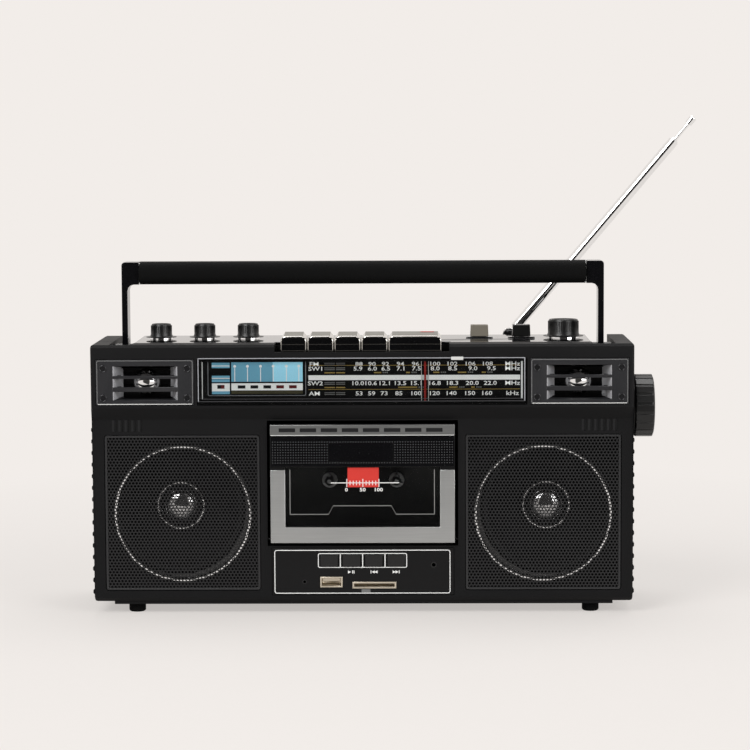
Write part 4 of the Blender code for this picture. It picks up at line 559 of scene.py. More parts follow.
class Form:
    """Gathers closed shapes, given in millimetres, in one mesh and hands it over as a piece."""

    def __init__(self):
        self.mesh = bmesh.new()

    def points(self, places):
        return [self.mesh.verts.new(Vector(place) * MM) for place in places]

    def loft(self, rings, closed=False):
        """Joins rings of equal count. The ends get flat caps, or join each other if closed."""
        made = [self.points(ring) for ring in rings]
        pairs = list(zip(made, made[1:])) + ([(made[-1], made[0])] if closed else [])
        for first, second in pairs:
            for here in range(len(first)):
                there = (here + 1) % len(first)
                self.mesh.faces.new([first[here], first[there], second[there], second[here]])
        if not closed:
            self.mesh.faces.new(list(reversed(made[0])))
            self.mesh.faces.new(made[-1])
        return self

    def prism(self, outline, low, high, axis="y"):
        return self.loft([[across(axis, u, v, along) for u, v in outline] for along in (low, high)])

    def slab(self, low_x, low_z, high_x, high_z, low, high, corner=0.0, axis="y"):
        return self.prism(rectangle(low_x, low_z, high_x, high_z, corner), low, high, axis)

    def ring(self, outer, inner, low, high, axis="y"):
        """A frame between two outlines of equal count."""
        return self.loft(
            [
                [across(axis, u, v, along) for u, v in outline]
                for outline, along in ((outer, low), (outer, high), (inner, high), (inner, low))
            ],
            closed=True,
        )

    def line_frame(self, low_x, low_z, high_x, high_z, width, low, high, corner=0.0):
        """A thin frame line whose outer edge is the rectangle given."""
        inner = max(corner - width, 0.0) if corner else 0.0
        outer_points = rectangle(low_x, low_z, high_x, high_z, corner)
        inner_points = rectangle(
            low_x + width, low_z + width, high_x - width, high_z - width, inner or (0.01 if corner else 0.0)
        )
        return self.ring(outer_points, inner_points, low, high)

    def turned(self, profile, centre, axis="y", steps=48, closed=False):
        """A turned shape: profile is (radius, place along the axis); a radius of 0 at an end closes it in a point."""
        start = Matrix.Translation(Vector(centre) * MM)
        turn = {"x": Matrix.Rotation(math.pi / 2, 4, "Y"), "y": Matrix.Rotation(-math.pi / 2, 4, "X"), "z": Matrix()}
        place = start @ turn[axis]
        rings = []
        for radius, along in profile:
            outline = circle(0, 0, radius, steps)[: 1 if radius == 0 else steps]
            rings.append([self.mesh.verts.new(place @ (Vector((u, v, along)) * MM)) for u, v in outline])
        pairs = list(zip(rings, rings[1:])) + ([(rings[-1], rings[0])] if closed else [])
        for first, second in pairs:
            for here in range(steps):
                there = (here + 1) % steps
                corners = [first[here % len(first)], first[there % len(first)]]
                corners += [second[there % len(second)], second[here % len(second)]]
                self.mesh.faces.new(list(dict.fromkeys(corners)))
        if not closed:
            for end in (rings[0], rings[-1]):
                if len(end) > 2:
                    self.mesh.faces.new(end)
        return self

    def words(self, text, x, z, height, surface, stretch, bold):
        """Letters lying on a plane across Y, centred at x and z, facing -Y. surface is the plane's place on Y."""
        curve = bpy.data.curves.new("letters", "FONT")
        curve.body, curve.resolution_u, curve.extrude, curve.offset = text, 2, 0.5, bold
        letters = bpy.data.objects.new("letters", curve)
        bpy.context.scene.collection.objects.link(letters)
        bpy.context.view_layer.update()
        flat = bpy.data.meshes.new_from_object(letters.evaluated_get(bpy.context.evaluated_depsgraph_get()))
        bpy.data.objects.remove(letters)
        places = [vertex.co for vertex in flat.vertices]
        low = Vector([min(place[axis] for place in places) for axis in range(3)])
        high = Vector([max(place[axis] for place in places) for axis in range(3)])
        middle, size = (low + high) / 2, high - low
        tall = height / size.y
        wide = tall * stretch
        made = [
            self.mesh.verts.new(
                Vector(
                    (
                        x + (place.x - middle.x) * wide,
                        surface - PRINT_THICKNESS * (place.z - low.z) / size.z + PRINT_THICKNESS / 3,
                        z + (place.y - middle.y) * tall,
                    )
                )
                * MM
            )
            for place in places
        ]
        for polygon in flat.polygons:
            self.mesh.faces.new([made[index] for index in polygon.vertices])
        bpy.data.meshes.remove(flat)
        return self

    def piece(self, name, body, material, bevel=0.0, segments=2, slot=None, replaces=()):
        """Hands the mesh over as a piece that rides on a body. bevel is in millimetres."""
        bmesh.ops.recalc_face_normals(self.mesh, faces=self.mesh.faces)
        data = bpy.data.meshes.new(name)
        self.mesh.to_mesh(data)
        self.mesh.free()
        return place_piece(name, data, body, material, bevel, segments, replaces)


def smooth(data):
    """Smooth shading that keeps sharp edges."""
    for polygon in data.polygons:
        polygon.use_smooth = True
    data.set_sharp_from_angle(angle=math.radians(SHARP_DEGREES))


def place_piece(name, data, body, material, bevel=0.0, segments=2, replaces=()):
    data.materials.clear()
    data.materials.append(finish(material))
    smooth(data)
    piece = bpy.data.objects.new(name, data)
    bpy.context.scene.collection.objects.link(piece)
    if bevel:
        rounding = piece.modifiers.new("rounding", "BEVEL")
        rounding.width, rounding.segments = bevel * MM, segments
        rounding.limit_method, rounding.angle_limit = "ANGLE", math.radians(BEVEL_DEGREES)
    if replaces:
        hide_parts(*replaces)
    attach(piece, body)
    return piece


def refined(node, material, bevel=0.0, segments=2):
    """A cleaned copy of a CAD node with rounded edges, which stands for it."""
    source = frame["nodes"][node]
    mesh = bmesh.new()
    mesh.from_mesh(source.data)
    bmesh.ops.remove_doubles(mesh, verts=mesh.verts, dist=MERGE_DISTANCE)
    flat = math.radians(FLAT_DEGREES)
    bmesh.ops.dissolve_limit(mesh, angle_limit=flat, verts=mesh.verts, edges=mesh.edges, delimit=set())
    data = bpy.data.meshes.new(node + "_finished")
    mesh.to_mesh(data)
    mesh.free()
    return place_piece(node + "_finished", data, source["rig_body"], material, bevel, segments, (node,))


def paint(material, *nodes):
    """Gives CAD nodes that keep their own shape a finish."""
    for node in nodes:
        data = frame["nodes"][node].data
        data.materials.clear()
        data.materials.append(finish(material))


# ---------------------------------------------------------------- repeats, as Geometry Nodes


def new_modifier_tree(name, *sockets):
    """A Geometry Nodes tree with named inputs, its group input and a way to end it."""
    group = bpy.data.node_groups.new(name, "GeometryNodeTree")
    group.interface.new_socket("Geometry", in_out="OUTPUT", socket_type="NodeSocketGeometry")
    for label, kind, default in sockets:
        socket = group.interface.new_socket(label, in_out="INPUT", socket_type="NodeSocket" + kind)
        if default is not None:
            socket.default_value = default
    build = Tree(group)
    source = group.nodes.new("NodeGroupInput")

    def take(label):
        return Value(build, source.outputs[label])

    def end(instances):
        real = build.node("GeometryNodeRealizeInstances", {}, {0: instances})
        merged = build.node("GeometryNodeMergeByDistance", {}, {"Geometry": real, "Distance": take("Merge distance")})
        painted = build.node("GeometryNodeSetMaterial", {}, {"Geometry": merged, "Material": take("Material")})
        result = group.nodes.new("NodeGroupOutput")
        group.links.new(painted.socket, result.inputs[0])
        return group

    return build, take, end


def rows_tree():
    """Copies of a piece in rows and columns, with every other row shifted: perforations, ribs, screws and dots."""
    found = bpy.data.node_groups.get("pieces_in_rows")
    if found:
        return found
    build, take, end = new_modifier_tree(
        "pieces_in_rows",
        ("Piece", "Object", None),
        ("Columns", "Int", 1),
        ("Rows", "Int", 1),
        ("Start", "Vector", (0, 0, 0)),
        ("Column step", "Vector", (0, 0, 0)),
        ("Row step", "Vector", (0, 0, 0)),
        ("Row shift", "Vector", (0, 0, 0)),
        ("Merge distance", "Float", 0.0),
        ("Material", "Material", None),
    )
    index = build.node("GeometryNodeInputIndex")
    columns = take("Columns")
    row = ((index + 0.5) / columns).floor()
    column = index - row * columns
    place = take("Start")
    for step, count in (("Column step", column), ("Row step", row), ("Row shift", row % 2)):
        place = build.vector("ADD", place, build.vector("SCALE", take(step), scale=count))
    points = build.node("GeometryNodePoints", {}, {"Count": columns * take("Rows"), "Position": place})
    piece = build.node("GeometryNodeObjectInfo", {}, {"Object": take("Piece")}, output="Geometry")
    return end(build.node("GeometryNodeInstanceOnPoints", {}, {"Points": points, "Instance": piece}))


def ring_tree():
    """Copies of a piece turned about an axis: flutes on knobs, ribs on horns, ticks round a dial."""
    found = bpy.data.node_groups.get("pieces_round_an_axis")
    if found:
        return found
    build, take, end = new_modifier_tree(
        "pieces_round_an_axis",
        ("Piece", "Object", None),
        ("Count", "Int", 12),
        ("Centre", "Vector", (0, 0, 0)),
        ("Axis", "Vector", (0, 0, 1)),
        ("Merge distance", "Float", 0.0),
        ("Material", "Material", None),
    )
    count = take("Count")
    index = build.node("GeometryNodeInputIndex")
    angle = index * (2 * math.pi) / count
    turn = build.node("FunctionNodeAxisAngleToRotation", {}, {"Axis": take("Axis"), "Angle": angle})
    points = build.node("GeometryNodePoints", {}, {"Count": count, "Position": take("Centre")})
    piece = build.node("GeometryNodeObjectInfo", {}, {"Object": take("Piece")}, output="Geometry")
    return end(
        build.node("GeometryNodeInstanceOnPoints", {}, {"Points": points, "Instance": piece, "Rotation": turn})
    )


def repeated(name, tree, form, body, material, slot=None, replaces=(), close_rim=False, bevel=0.0, **inputs):
    """A plain mesh of copies of a form, made by one of the trees above.

    An underscore in an input's name stands for a space."""
    bmesh.ops.recalc_face_normals(form.mesh, faces=form.mesh.faces)
    pattern_data = bpy.data.meshes.new(name + "_pattern")
    form.mesh.to_mesh(pattern_data)
    form.mesh.free()
    pattern = bpy.data.objects.new(name + "_pattern", pattern_data)
    host = bpy.data.objects.new(name, bpy.data.meshes.new(name))
    for made in (pattern, host):
        bpy.context.scene.collection.objects.link(made)
    spread = host.modifiers.new("copies", "NODES")
    spread.node_group = tree
    values = {"Piece": pattern, "Material": finish(material)}
    values.update({label.replace("_", " "): value for label, value in inputs.items()})
    for item in tree.interface.items_tree:
        if item.in_out == "INPUT" and item.name in values:
            spread[item.identifier] = values[item.name]
    bpy.context.view_layer.update()
    data = bpy.data.meshes.new_from_object(host.evaluated_get(bpy.context.evaluated_depsgraph_get()))
    bpy.data.objects.remove(host)
    bpy.data.objects.remove(pattern)
    data.name = name
    if close_rim:
        mesh = bmesh.new()
        mesh.from_mesh(data)
        rim = [edge for edge in mesh.edges if edge.is_boundary]
        bmesh.ops.bridge_loops(mesh, edges=rim)
        bmesh.ops.recalc_face_normals(mesh, faces=mesh.faces)
        mesh.to_mesh(data)
        mesh.free()
    return place_piece(name, data, body, material, bevel, 2, replaces)


# ---------------------------------------------------------------- stage

CAMERA_PLACE = (0.03476, -1.66136, 0.29254)
CAMERA_DOWN, CAMERA_LEFT, CAMERA_ROLL = 5.157, 0.941, -0.268
FOCAL_PIXELS, IMAGE_PIXELS, SENSOR_MM = 2600, 750, 36
# Name, place, size and watts of each soft lamp. All are aimed at LAMP_AIM.
LAMPS = (
    ("key_lamp", (-1.1, -1.5, 1.5), 1.1, 34.0),
    ("fill_lamp", (1.4, -1.3, 0.9), 1.2, 20.0),
    ("top_lamp", (0.1, 0.5, 1.7), 1.2, 16.0),
)
LAMP_AIM = Vector((0, 0, 0.1))
WORLD_LIGHT = 0.5
DARK_SIDE_SHARE, DARK_SIDE_WIDTH, DARK_SIDE_EDGE = 0.95, 1.75, 7.0
FLOOR_REACH, FLOOR_DARK_FROM = 4.0, 0.3
SHADOW_REACH, SHADOW_FADE, SHADOW_SHARE = 0.25, 2.2, 0.45
PAPER_DARK, PAPER_LIGHT, UNLIT_GLOW = 0.64, 0.67, 0.05


class STEREO_OT_stage(bpy.types.Operator):
    """Camera, pale floor, soft lamps and surroundings"""

    bl_idname = "stereo.stage"
    bl_label = "Stage"

    def execute(self, context):
        scene = context.scene
        scene.view_settings.view_transform = "Standard"
        camera = bpy.data.objects.new("camera", bpy.data.cameras.new("camera"))
        camera.data.sensor_width = SENSOR_MM
        camera.data.lens = FOCAL_PIXELS / IMAGE_PIXELS * SENSOR_MM
        turn = (
            Matrix.Rotation(math.radians(CAMERA_LEFT), 4, "Z")
            @ Matrix.Rotation(math.radians(90 - CAMERA_DOWN), 4, "X")
            @ Matrix.Rotation(math.radians(CAMERA_ROLL), 4, "Z")
        )
        camera.matrix_world = Matrix.Translation(CAMERA_PLACE) @ turn
        scene.collection.objects.link(camera)
        scene.camera = camera
        self.lamps(scene)
        self.surroundings(scene)
        self.floor(scene)
        return {"FINISHED"}

    def lamps(self, scene):
        """Large soft lamps round the cabinet."""
        for name, place, size, watts in LAMPS:
            data = bpy.data.lights.new(name, "AREA")
            data.shape, data.size, data.energy = "SQUARE", size, watts
            lamp = bpy.data.objects.new(name, data)
            turn = (LAMP_AIM - Vector(place)).to_track_quat("-Z", "Y").to_matrix().to_4x4()
            lamp.matrix_world = Matrix.Translation(place) @ turn
            scene.collection.objects.link(lamp)

    def surroundings(self, scene):
        """The world lights softly. Shiny surfaces see a pale room that is darker on the camera's side."""
        world = bpy.data.worlds.new("studio")
        world.use_nodes = True
        scene.world = world
        build = Tree(world.node_tree)
        build.tree.nodes.clear()
        rays = build.tree.nodes.new("ShaderNodeLightPath")
        seen = Value(build, rays.outputs["Is Camera Ray"])
        mirrored = Value(build, rays.outputs["Is Glossy Ray"])
        through = Value(build, rays.outputs["Is Transmission Ray"])
        direction = build.node("ShaderNodeTexCoord", output="Generated")
        shine = 1.0 - self.towards_camera(build, direction, 0.0) * DARK_SIDE_SHARE
        light = build.node("ShaderNodeBackground", {}, {"Color": (1, 1, 1, 1), "Strength": WORLD_LIGHT})
        reflected = build.node("ShaderNodeBackground", {}, {"Color": (*BACKGROUND, 1), "Strength": shine})
        plain = build.node("ShaderNodeBackground", {}, {"Color": (*BACKGROUND, 1), "Strength": 1.0})
        mirrored_or_light = build.node("ShaderNodeMixShader", {}, {0: mirrored, 1: light, 2: reflected})
        sky = build.node("ShaderNodeMixShader", {}, {0: (seen + through).clamped(), 1: mirrored_or_light, 2: plain})
        result = build.tree.nodes.new("ShaderNodeOutputWorld")
        build.tree.links.new(sky.socket, result.inputs["Surface"])

    def towards_camera(self, build, place, beyond):
        """1 for directions, or places on the floor, within about 28 degrees of the camera's side, 0 for the rest."""
        parts = build.tree.nodes.new("ShaderNodeSeparateXYZ")
        build.tree.links.new(place.socket, parts.inputs[0])
        aside, ahead = Value(build, parts.outputs["X"]), Value(build, parts.outputs["Y"])
        inside = ahead * -1.0 - aside.math("ABSOLUTE") * DARK_SIDE_WIDTH - beyond
        return (inside * DARK_SIDE_EDGE).clamped()

    def floor(self, scene):
        """A wide pale floor. Near the object it keeps the shadow, and further off it turns into the background."""
        reach, level = FLOOR_REACH, CAD_BOX[0].z
        corners = [(-reach, -reach, level), (reach, -reach, level), (reach, reach, level), (-reach, reach, level)]
        data = bpy.data.meshes.new("floor")
        data.from_pydata(corners, [], [(0, 1, 2, 3)])
        made = Finish("floor_paper")
        fibre = made.noise(300.0, 3.0)
        away = made.node("ShaderNodeVectorMath", {"operation": "LENGTH"}, {0: made.place}, output="Value")
        near = (1.0 - (away - SHADOW_REACH) * SHADOW_FADE).clamped()
        rays = made.tree.nodes.new("ShaderNodeLightPath")
        seen = Value(made, rays.outputs["Is Camera Ray"])
        mirrored = Value(made, rays.outputs["Is Glossy Ray"])
        through = Value(made, rays.outputs["Is Transmission Ray"])
        paper_shade = made.mix(fibre, shaded(BACKGROUND, PAPER_DARK), shaded(BACKGROUND, PAPER_LIGHT))
        plain = made.coat(Base_Color=paper_shade, Roughness=0.9, Specular_IOR_Level=0.0)
        glow = made.node("ShaderNodeEmission", {}, {"Color": (*BACKGROUND, 1), "Strength": 1.0})
        share = (seen + mirrored + through).clamped() * (1.0 - near * SHADOW_SHARE)
        open_floor = made.node("ShaderNodeMixShader", {}, {0: share, 1: plain, 2: glow})
        unlit = made.node("ShaderNodeEmission", {}, {"Color": (*BACKGROUND, 1), "Strength": UNLIT_GLOW})
        ahead = mirrored * self.towards_camera(made, made.place, FLOOR_DARK_FROM)
        shader = made.node("ShaderNodeMixShader", {}, {0: ahead, 1: open_floor, 2: unlit})
        data.materials.append(made.done(shader))
        floor = bpy.data.objects.new("floor", data)
        scene.collection.objects.link(floor)


# ---------------------------------------------------------------- cabinet

SLOT_X = {"left": (-157.4, -153.4, -149.5, -145.3, -141.2), "right": (137.6, 141.6, 145.5, 149.5, 153.4, 157.2)}
SLOT_Z = (110.8, 118.0)
WALL_X, FIRST_RIB_Z = 170.0, 9.0
RIB_SECTION = [(-0.8, -1.7), (0.0, -1.7), (0.8, -0.9), (0.8, 0.9), (0.0, 1.7), (-0.8, 1.7)]
RIB_LENGTHS = {"front": (-38.2, -14.5), "rear": (-13.5, 47.5)}
REAR_SCREWS = ((-150, 20), (150, 20), (-150, 130), (150, 130), (-82, 92), (82, 92))
SCREW_PROFILE = [(3.4, 50.2), (3.4, 50.9), (2.9, 50.9), (2.7, 50.6), (0, 50.6)]


class STEREO_OT_cabinet(bpy.types.Operator):
    """Cabinet shells with rounded edges, side ribs, slots above the grilles, feet and the rear's fittings"""

    bl_idname = "stereo.cabinet"
    bl_label = "Cabinet"

    def execute(self, context):
        settings = look("cabinet")
        edge = settings.edge / MM
        refined("front_shell", "cabinet_plastic", edge)
        refined("rear_shell", "cabinet_plastic", edge)
        refined("top_plate", "top_gloss", 0.35)
        refined("battery_door", "cabinet_plastic", 0.35)
        refined("mains_inlet", "knob_black", 0.3)
        for end in ("front", "rear"):
            for side in SIDES:
                refined(f"foot_{end}_{side}", "soft_black", 0.3)
        self.side_ribs(settings)
        self.slots()
        self.rear_fittings()
        return {"FINISHED"}

    def side_ribs(self, settings):
        """Long ribs on both side walls, in a front and a rear length with the parting line between them."""
        for name, (low, high) in RIB_LENGTHS.items():
            for side, sign in SIDES.items():
                outline = [(sign * u, v) for u, v in RIB_SECTION]
                rib = Form().prism(outline, low, high)
                repeated(
                    f"side_ribs_{name}_{side}",
                    rows_tree(),
                    rib,
                    "cabinet",
                    "cabinet_plastic",
                    slot="cabinet",
                    Rows=settings.ribs,
                    Start=mm(sign * WALL_X, 0, FIRST_RIB_Z),
                    Row_step=(0, 0, settings.rib_step),
                    bevel=0.25,
                )

    def slots(self):
        """Slots above the outer corners of the grilles: black marks as painted shade in their hollows, and a raised lip
        on the right of each.
        """
        low, high = SLOT_Z
        for side, places in SLOT_X.items():
            # The black marks are painted shade for the inside of the slots.
            for name, material, depth, left, right in (
                ("slots", "black_ink", -39.06, 0.0, 1.5),
                ("slot_lips", "cabinet_plastic", -39.45, 1.5, 2.5),
            ):
                form = Form()
                for x in places:
                    form.slab(x + left, low, x + right, high, depth, -38.4)
                form.piece(f"{name}_{side}", "cabinet", material, 0.2 if name == "slot_lips" else 0.0, slot="cabinet")

    def rear_fittings(self):
        """Recessed screws on the back, grips on the battery door and louvres over the power supply."""
        screws = Form()
        for x, z in REAR_SCREWS:
            screws.turned(SCREW_PROFILE, (x, 0, z), "y", 24)
        screws.piece("rear_screws", "cabinet", "dark_steel", slot="cabinet")
        fin = Form().slab(-17, -0.9, 17, 0.9, 50.2, 51.3, 0.6)
        repeated(
            "rear_louvres",
            rows_tree(),
            fin,
            "cabinet",
            "cabinet_plastic",
            slot="cabinet",
            Columns=3,
            Rows=7,
            Start=mm(-44, 0, 98),
            Column_step=mm(44, 0, 0),
            Row_step=mm(0, 0, 4.4),
            bevel=0.25,
        )
        grip = Form().slab(-9, -0.7, 9, 0.7, 50.3, 51.2, 0.6)
        repeated(
            "battery_door_grips",
            rows_tree(),
            grip,
            "battery_door",
            "cabinet_plastic",
            slot="cabinet",
            Columns=2,
            Rows=5,
            Start=mm(-40, 0, 66),
            Column_step=mm(80, 0, 0),
            Row_step=mm(0, 0, 3.0),
            bevel=0.2,
        )


# ---------------------------------------------------------------- grilles and speakers

GRILLE_CENTRE, GRILLE_SIZE = (113.55, 59.05), (97.7, 98.5)
GRILLE_RIM = 1.5
GRILLE_FRONT, GRILLE_BACK = -38.05, -37.35
HOLE_CORNERS = 8
SPEAKER_CENTRE = (116.1, 61.5)
RING_CENTRE = (113.5, 58.6)
RING_PROFILE = [
    (41.4, -36.6), (41.8, -37.1), (42.5, -37.25), (43.2, -37.1), (43.5, -36.6), (43.0, -36.2), (41.9, -36.2),
]
CAP_RING_PROFILE = [(13.9, -21.0), (14.2, -21.7), (15.0, -21.7), (15.3, -21.0), (15.3, -19.6), (13.9, -19.6)]
SURROUND_PROFILE = [(37.2, -32.6), (38.2, -33.9), (39.6, -34.3), (40.6, -33.6), (40.6, -32.6)]
CAP_RADIUS, CAP_RISE, CAP_FOOT, CAP_EDGE, CAP_FRONT = 10.6, 5.4, -19.6, -20.6, -26.0


class STEREO_OT_grilles(bpy.types.Operator):
    """Perforated grilles"""

    bl_idname = "stereo.grilles"
    bl_label = "Grilles"

    def tile(self, step, row_step, radius, front, back):
        """One hole with the metal round it, open at its edges so that neighbours join."""
        form = Form()
        outline = [
            (-step / 2, -row_step / 2),
            (0, -row_step / 2),
            (step / 2, -row_step / 2),
            (step / 2, row_step / 2),
            (0, row_step / 2),
            (-step / 2, row_step / 2),
        ]
        hole = circle(0, 0, radius, HOLE_CORNERS)
        layers = []
        for y in (front, back):
            layers.append(
                (
                    form.points([(u, y, v) for u, v in outline]),
                    form.points([(u, y, v) for u, v in hole]),
                )
            )
        # Corners of the hole that each edge of the tile reaches, going round from the lower left
        reach = (5, 6, 7, 1, 2, 3)
        for rim, inner in layers:
            for here in range(6):
                there = (here + 1) % 6
                first, last = reach[here], reach[there]
                count = (last - first) % HOLE_CORNERS + 1
                span = [(first + step_on) % HOLE_CORNERS for step_on in range(count)]
                form.mesh.faces.new([rim[here], rim[there]] + [inner[place] for place in reversed(span)])
        for here in range(HOLE_CORNERS):
            there = (here + 1) % HOLE_CORNERS
            (_, front_hole), (_, back_hole) = layers
            form.mesh.faces.new([front_hole[here], back_hole[here], back_hole[there], front_hole[there]])
        return form

    def execute(self, context):
        settings = look("sound")
        step = settings.hole_step / MM
        row_step = step * math.sqrt(3) / 2
        width, height = GRILLE_SIZE
        columns = int((width - 0.6 - step / 2) / step)
        rows = int((height - 1.2) / row_step)
        for side, sign in SIDES.items():
            x, z = sign * GRILLE_CENTRE[0], GRILLE_CENTRE[1]
            repeated(
                f"grille_{side}_perforated",
                rows_tree(),
                self.tile(step, row_step, settings.hole_radius / MM, GRILLE_FRONT, GRILLE_BACK),
                "cabinet",
                "grille_paint",
                slot="grille_metal",
                replaces=(f"grille_{side}",),
                close_rim=True,
                Columns=columns,
                Rows=rows,
                Start=mm(x - (columns - 1) * step / 2 - step / 4, 0, z - (rows - 1) * row_step / 2),
                Column_step=mm(step, 0, 0),
                Row_step=mm(0, 0, row_step),
                Row_shift=mm(step / 2, 0, 0),
                Merge_distance=0.00002,
            )
            left, right, low, high = x - width / 2, x + width / 2, z - height / 2, z + height / 2
            rim = GRILLE_RIM
            outer = rectangle(left, low, right, high, 1.6)
            inner = rectangle(left + rim, low + rim, right - rim, high - rim, 0.6)
            Form().ring(outer, inner, -38.35, -36.75).piece(
                f"grille_{side}_rim", "cabinet", "grille_rim", 0.35, 3, slot="grille_metal"
            )
        return {"FINISHED"}


class STEREO_OT_speakers(bpy.types.Operator):
    """Speaker cones, baskets, bright rings and dust caps"""

    bl_idname = "stereo.speakers"
    bl_label = "Speakers"

    def execute(self, context):
        for side, sign in SIDES.items():
            x, z = sign * SPEAKER_CENTRE[0], SPEAKER_CENTRE[1]
            refined(f"speaker_cone_{side}", "cone_paper")
            refined(f"speaker_frame_{side}", "dark_steel")
            ring_x, ring_z = sign * RING_CENTRE[0], RING_CENTRE[1]
            Form().turned(RING_PROFILE, (ring_x, 0, ring_z), "y", 96, closed=True).piece(
                f"speaker_ring_{side}", "cabinet", "chrome", slot="chrome"
            )
            Form().turned(CAP_RING_PROFILE, (x, 0, z), "y", 64, closed=True).piece(
                f"dust_cap_ring_{side}", "cabinet", "chrome", slot="chrome"
            )
            dome = [
                (CAP_RADIUS * math.cos(angle), CAP_EDGE - CAP_RISE * math.sin(angle))
                for angle in (math.radians(step) for step in (0, 13, 26, 39, 52, 65, 78))
            ]
            cap = [(0, CAP_FOOT), (CAP_RADIUS, CAP_FOOT)] + dome + [(0, CAP_FRONT)]
            Form().turned(cap, (x, 0, z), "y", 64).piece(f"dust_cap_{side}", "cabinet", "chrome", slot="chrome")
            Form().turned(SURROUND_PROFILE, (x, 0, z), "y", 72, closed=True).piece(
                f"cone_surround_{side}", "cabinet", "rubber", slot="soft_black"
            )
        return {"FINISHED"}


TWEETER_X, HORN_MIDDLE_Z = 135.7, 141.8
PANEL_X, PANEL_Z = (105.8, 166.0), (128.5, 156.2)
HORN_HALF_WIDTH, LINING_Z = 15.3, (132.6, 151.0)
LOUVRES = ((145.5, 1.0), (137.9, 1.45))
WALL_ENDS = ((20.3, -44.4, 10.7), (15.4, -32.4, 9.3))
WALL_THICKNESS = 0.5


class STEREO_OT_tweeters(bpy.types.Operator):
    """Horn tweeters with louvres, screws and bright domes"""

    bl_idname = "stereo.tweeters"
    bl_label = "Tweeters"

    def execute(self, context):
        for side, sign in SIDES.items():
            refined(f"tweeter_bezel_{side}", "horn_panel", 0.25)
            refined(f"tweeter_dome_{side}", "chrome")
            centre = sign * TWEETER_X
            half = HORN_HALF_WIDTH
            lining = Form().slab(centre - half, LINING_Z[0], centre + half, LINING_Z[1], -32.15, -31.9)
            for z in (132.5, 150.9):
                lining.slab(centre - 15.4, z, centre + 15.4, z + 0.2, -40.0, -31.9)
            # Black blocks at both ends of each louvre are painted shadow where the louvres end at the walls.
            for z, half in LOUVRES:
                for way in (-1, 1):
                    low, high = sorted((centre + way * 15.6, centre + way * 18.3))
                    lining.slab(low, z - half, high, z + half, -40.3, -37.5)
            lining.piece(f"horn_lining_{side}", "cabinet", "horn_black", slot="gloss_black")
            walls = Form()
            for way in (-1, 1):
                rings = []
                for out, y, half in WALL_ENDS:
                    x, low, high = centre + way * out, HORN_MIDDLE_Z - half, HORN_MIDDLE_Z + half
                    inner = x - way * WALL_THICKNESS
                    rings.append([(x, y, low), (inner, y, low), (inner, y, high), (x, y, high)])
                walls.loft(rings)
            walls.piece(f"horn_walls_{side}", "cabinet", "horn_wall", 0.1, slot="silver_plastic")
            low_x, high_x = sorted(sign * x for x in PANEL_X)
            # A dim line round the bezel and a bright line along its bottom are painted highlights on the bezel's edges.
            edge_highlight_frame = Form().line_frame(low_x, PANEL_Z[0], high_x, PANEL_Z[1], 0.45, -45.12, -44.6, 1.2)
            edge_highlight_frame.piece(f"tweeter_line_{side}", "cabinet", "dim_edge", slot="silver_plastic")
            Form().slab(low_x + 0.6, 128.45, high_x - 0.6, 128.95, -45.2, -44.6).piece(
                f"tweeter_bright_line_{side}", "cabinet", "pale_edge", slot="silver_plastic"
            )
            head = Form().turned(
                [(2.3, 0.3), (2.3, -0.35), (2.0, -0.5), (1.7, -0.35), (1.6, -0.1), (0, -0.1)], (0, 0, 0), "y", 24
            )
            repeated(
                f"tweeter_screws_{side}",
                rows_tree(),
                head,
                "cabinet",
                "screw_black",
                slot="gloss_black",
                Columns=2,
                Rows=2,
                Start=mm(centre - 26.3, -45.0, 132.5),
                Column_step=mm(52.6, 0, 0),
                Row_step=mm(0, 0, 18.5),
            )
        return {"FINISHED"}


# ---------------------------------------------------------------- tuner

DIAL_ROWS = (
    ("FM", 153.1, "MHz", "88 90 92 94 96 100 102 106 108",
     (-1.9, 6.3, 14.7, 24.1, 33.5, 45.9, 56.7, 68.0, 78.8)),
    ("SW1", 150.2, "MHz", "5.9 6.0 6.5 7.1 7.5 8.0 8.5 9.0 9.5",
     (-2.5, 6.5, 14.9, 24.1, 34.1, 45.8, 56.7, 69.4, 81.0)),
    ("SW2", 141.0, "MHz", "10.0 10.6 12.1 13.5 15.1 16.8 18.3 20.0 22.0",
     (-2.4, 5.7, 14.2, 24.1, 34.0, 45.7, 56.7, 69.0, 80.3)),
    ("AM", 134.6, "kHz", "53 59 73 85 100 120 140 150 160",
     (-1.9, 6.0, 13.8, 23.0, 34.0, 45.6, 56.1, 67.7, 78.4)),
)
DIAL_FACE = -39.6
DIGIT_HEIGHT = 2.6
LETTERING = {"surface": DIAL_FACE, "stretch": 1.35, "bold": 0.012}
LABEL_X, UNIT_X = -31.4, 94.3
BAND_BARS = ((-23.6, -17.0), (-16.3, -10.6))
LAMP_LINES = (-79.8, -71.8, -63.6, -55.7, -47.4, -39.6)
POINTER_LOW, POINTER_HIGH = 127.2, 155.5


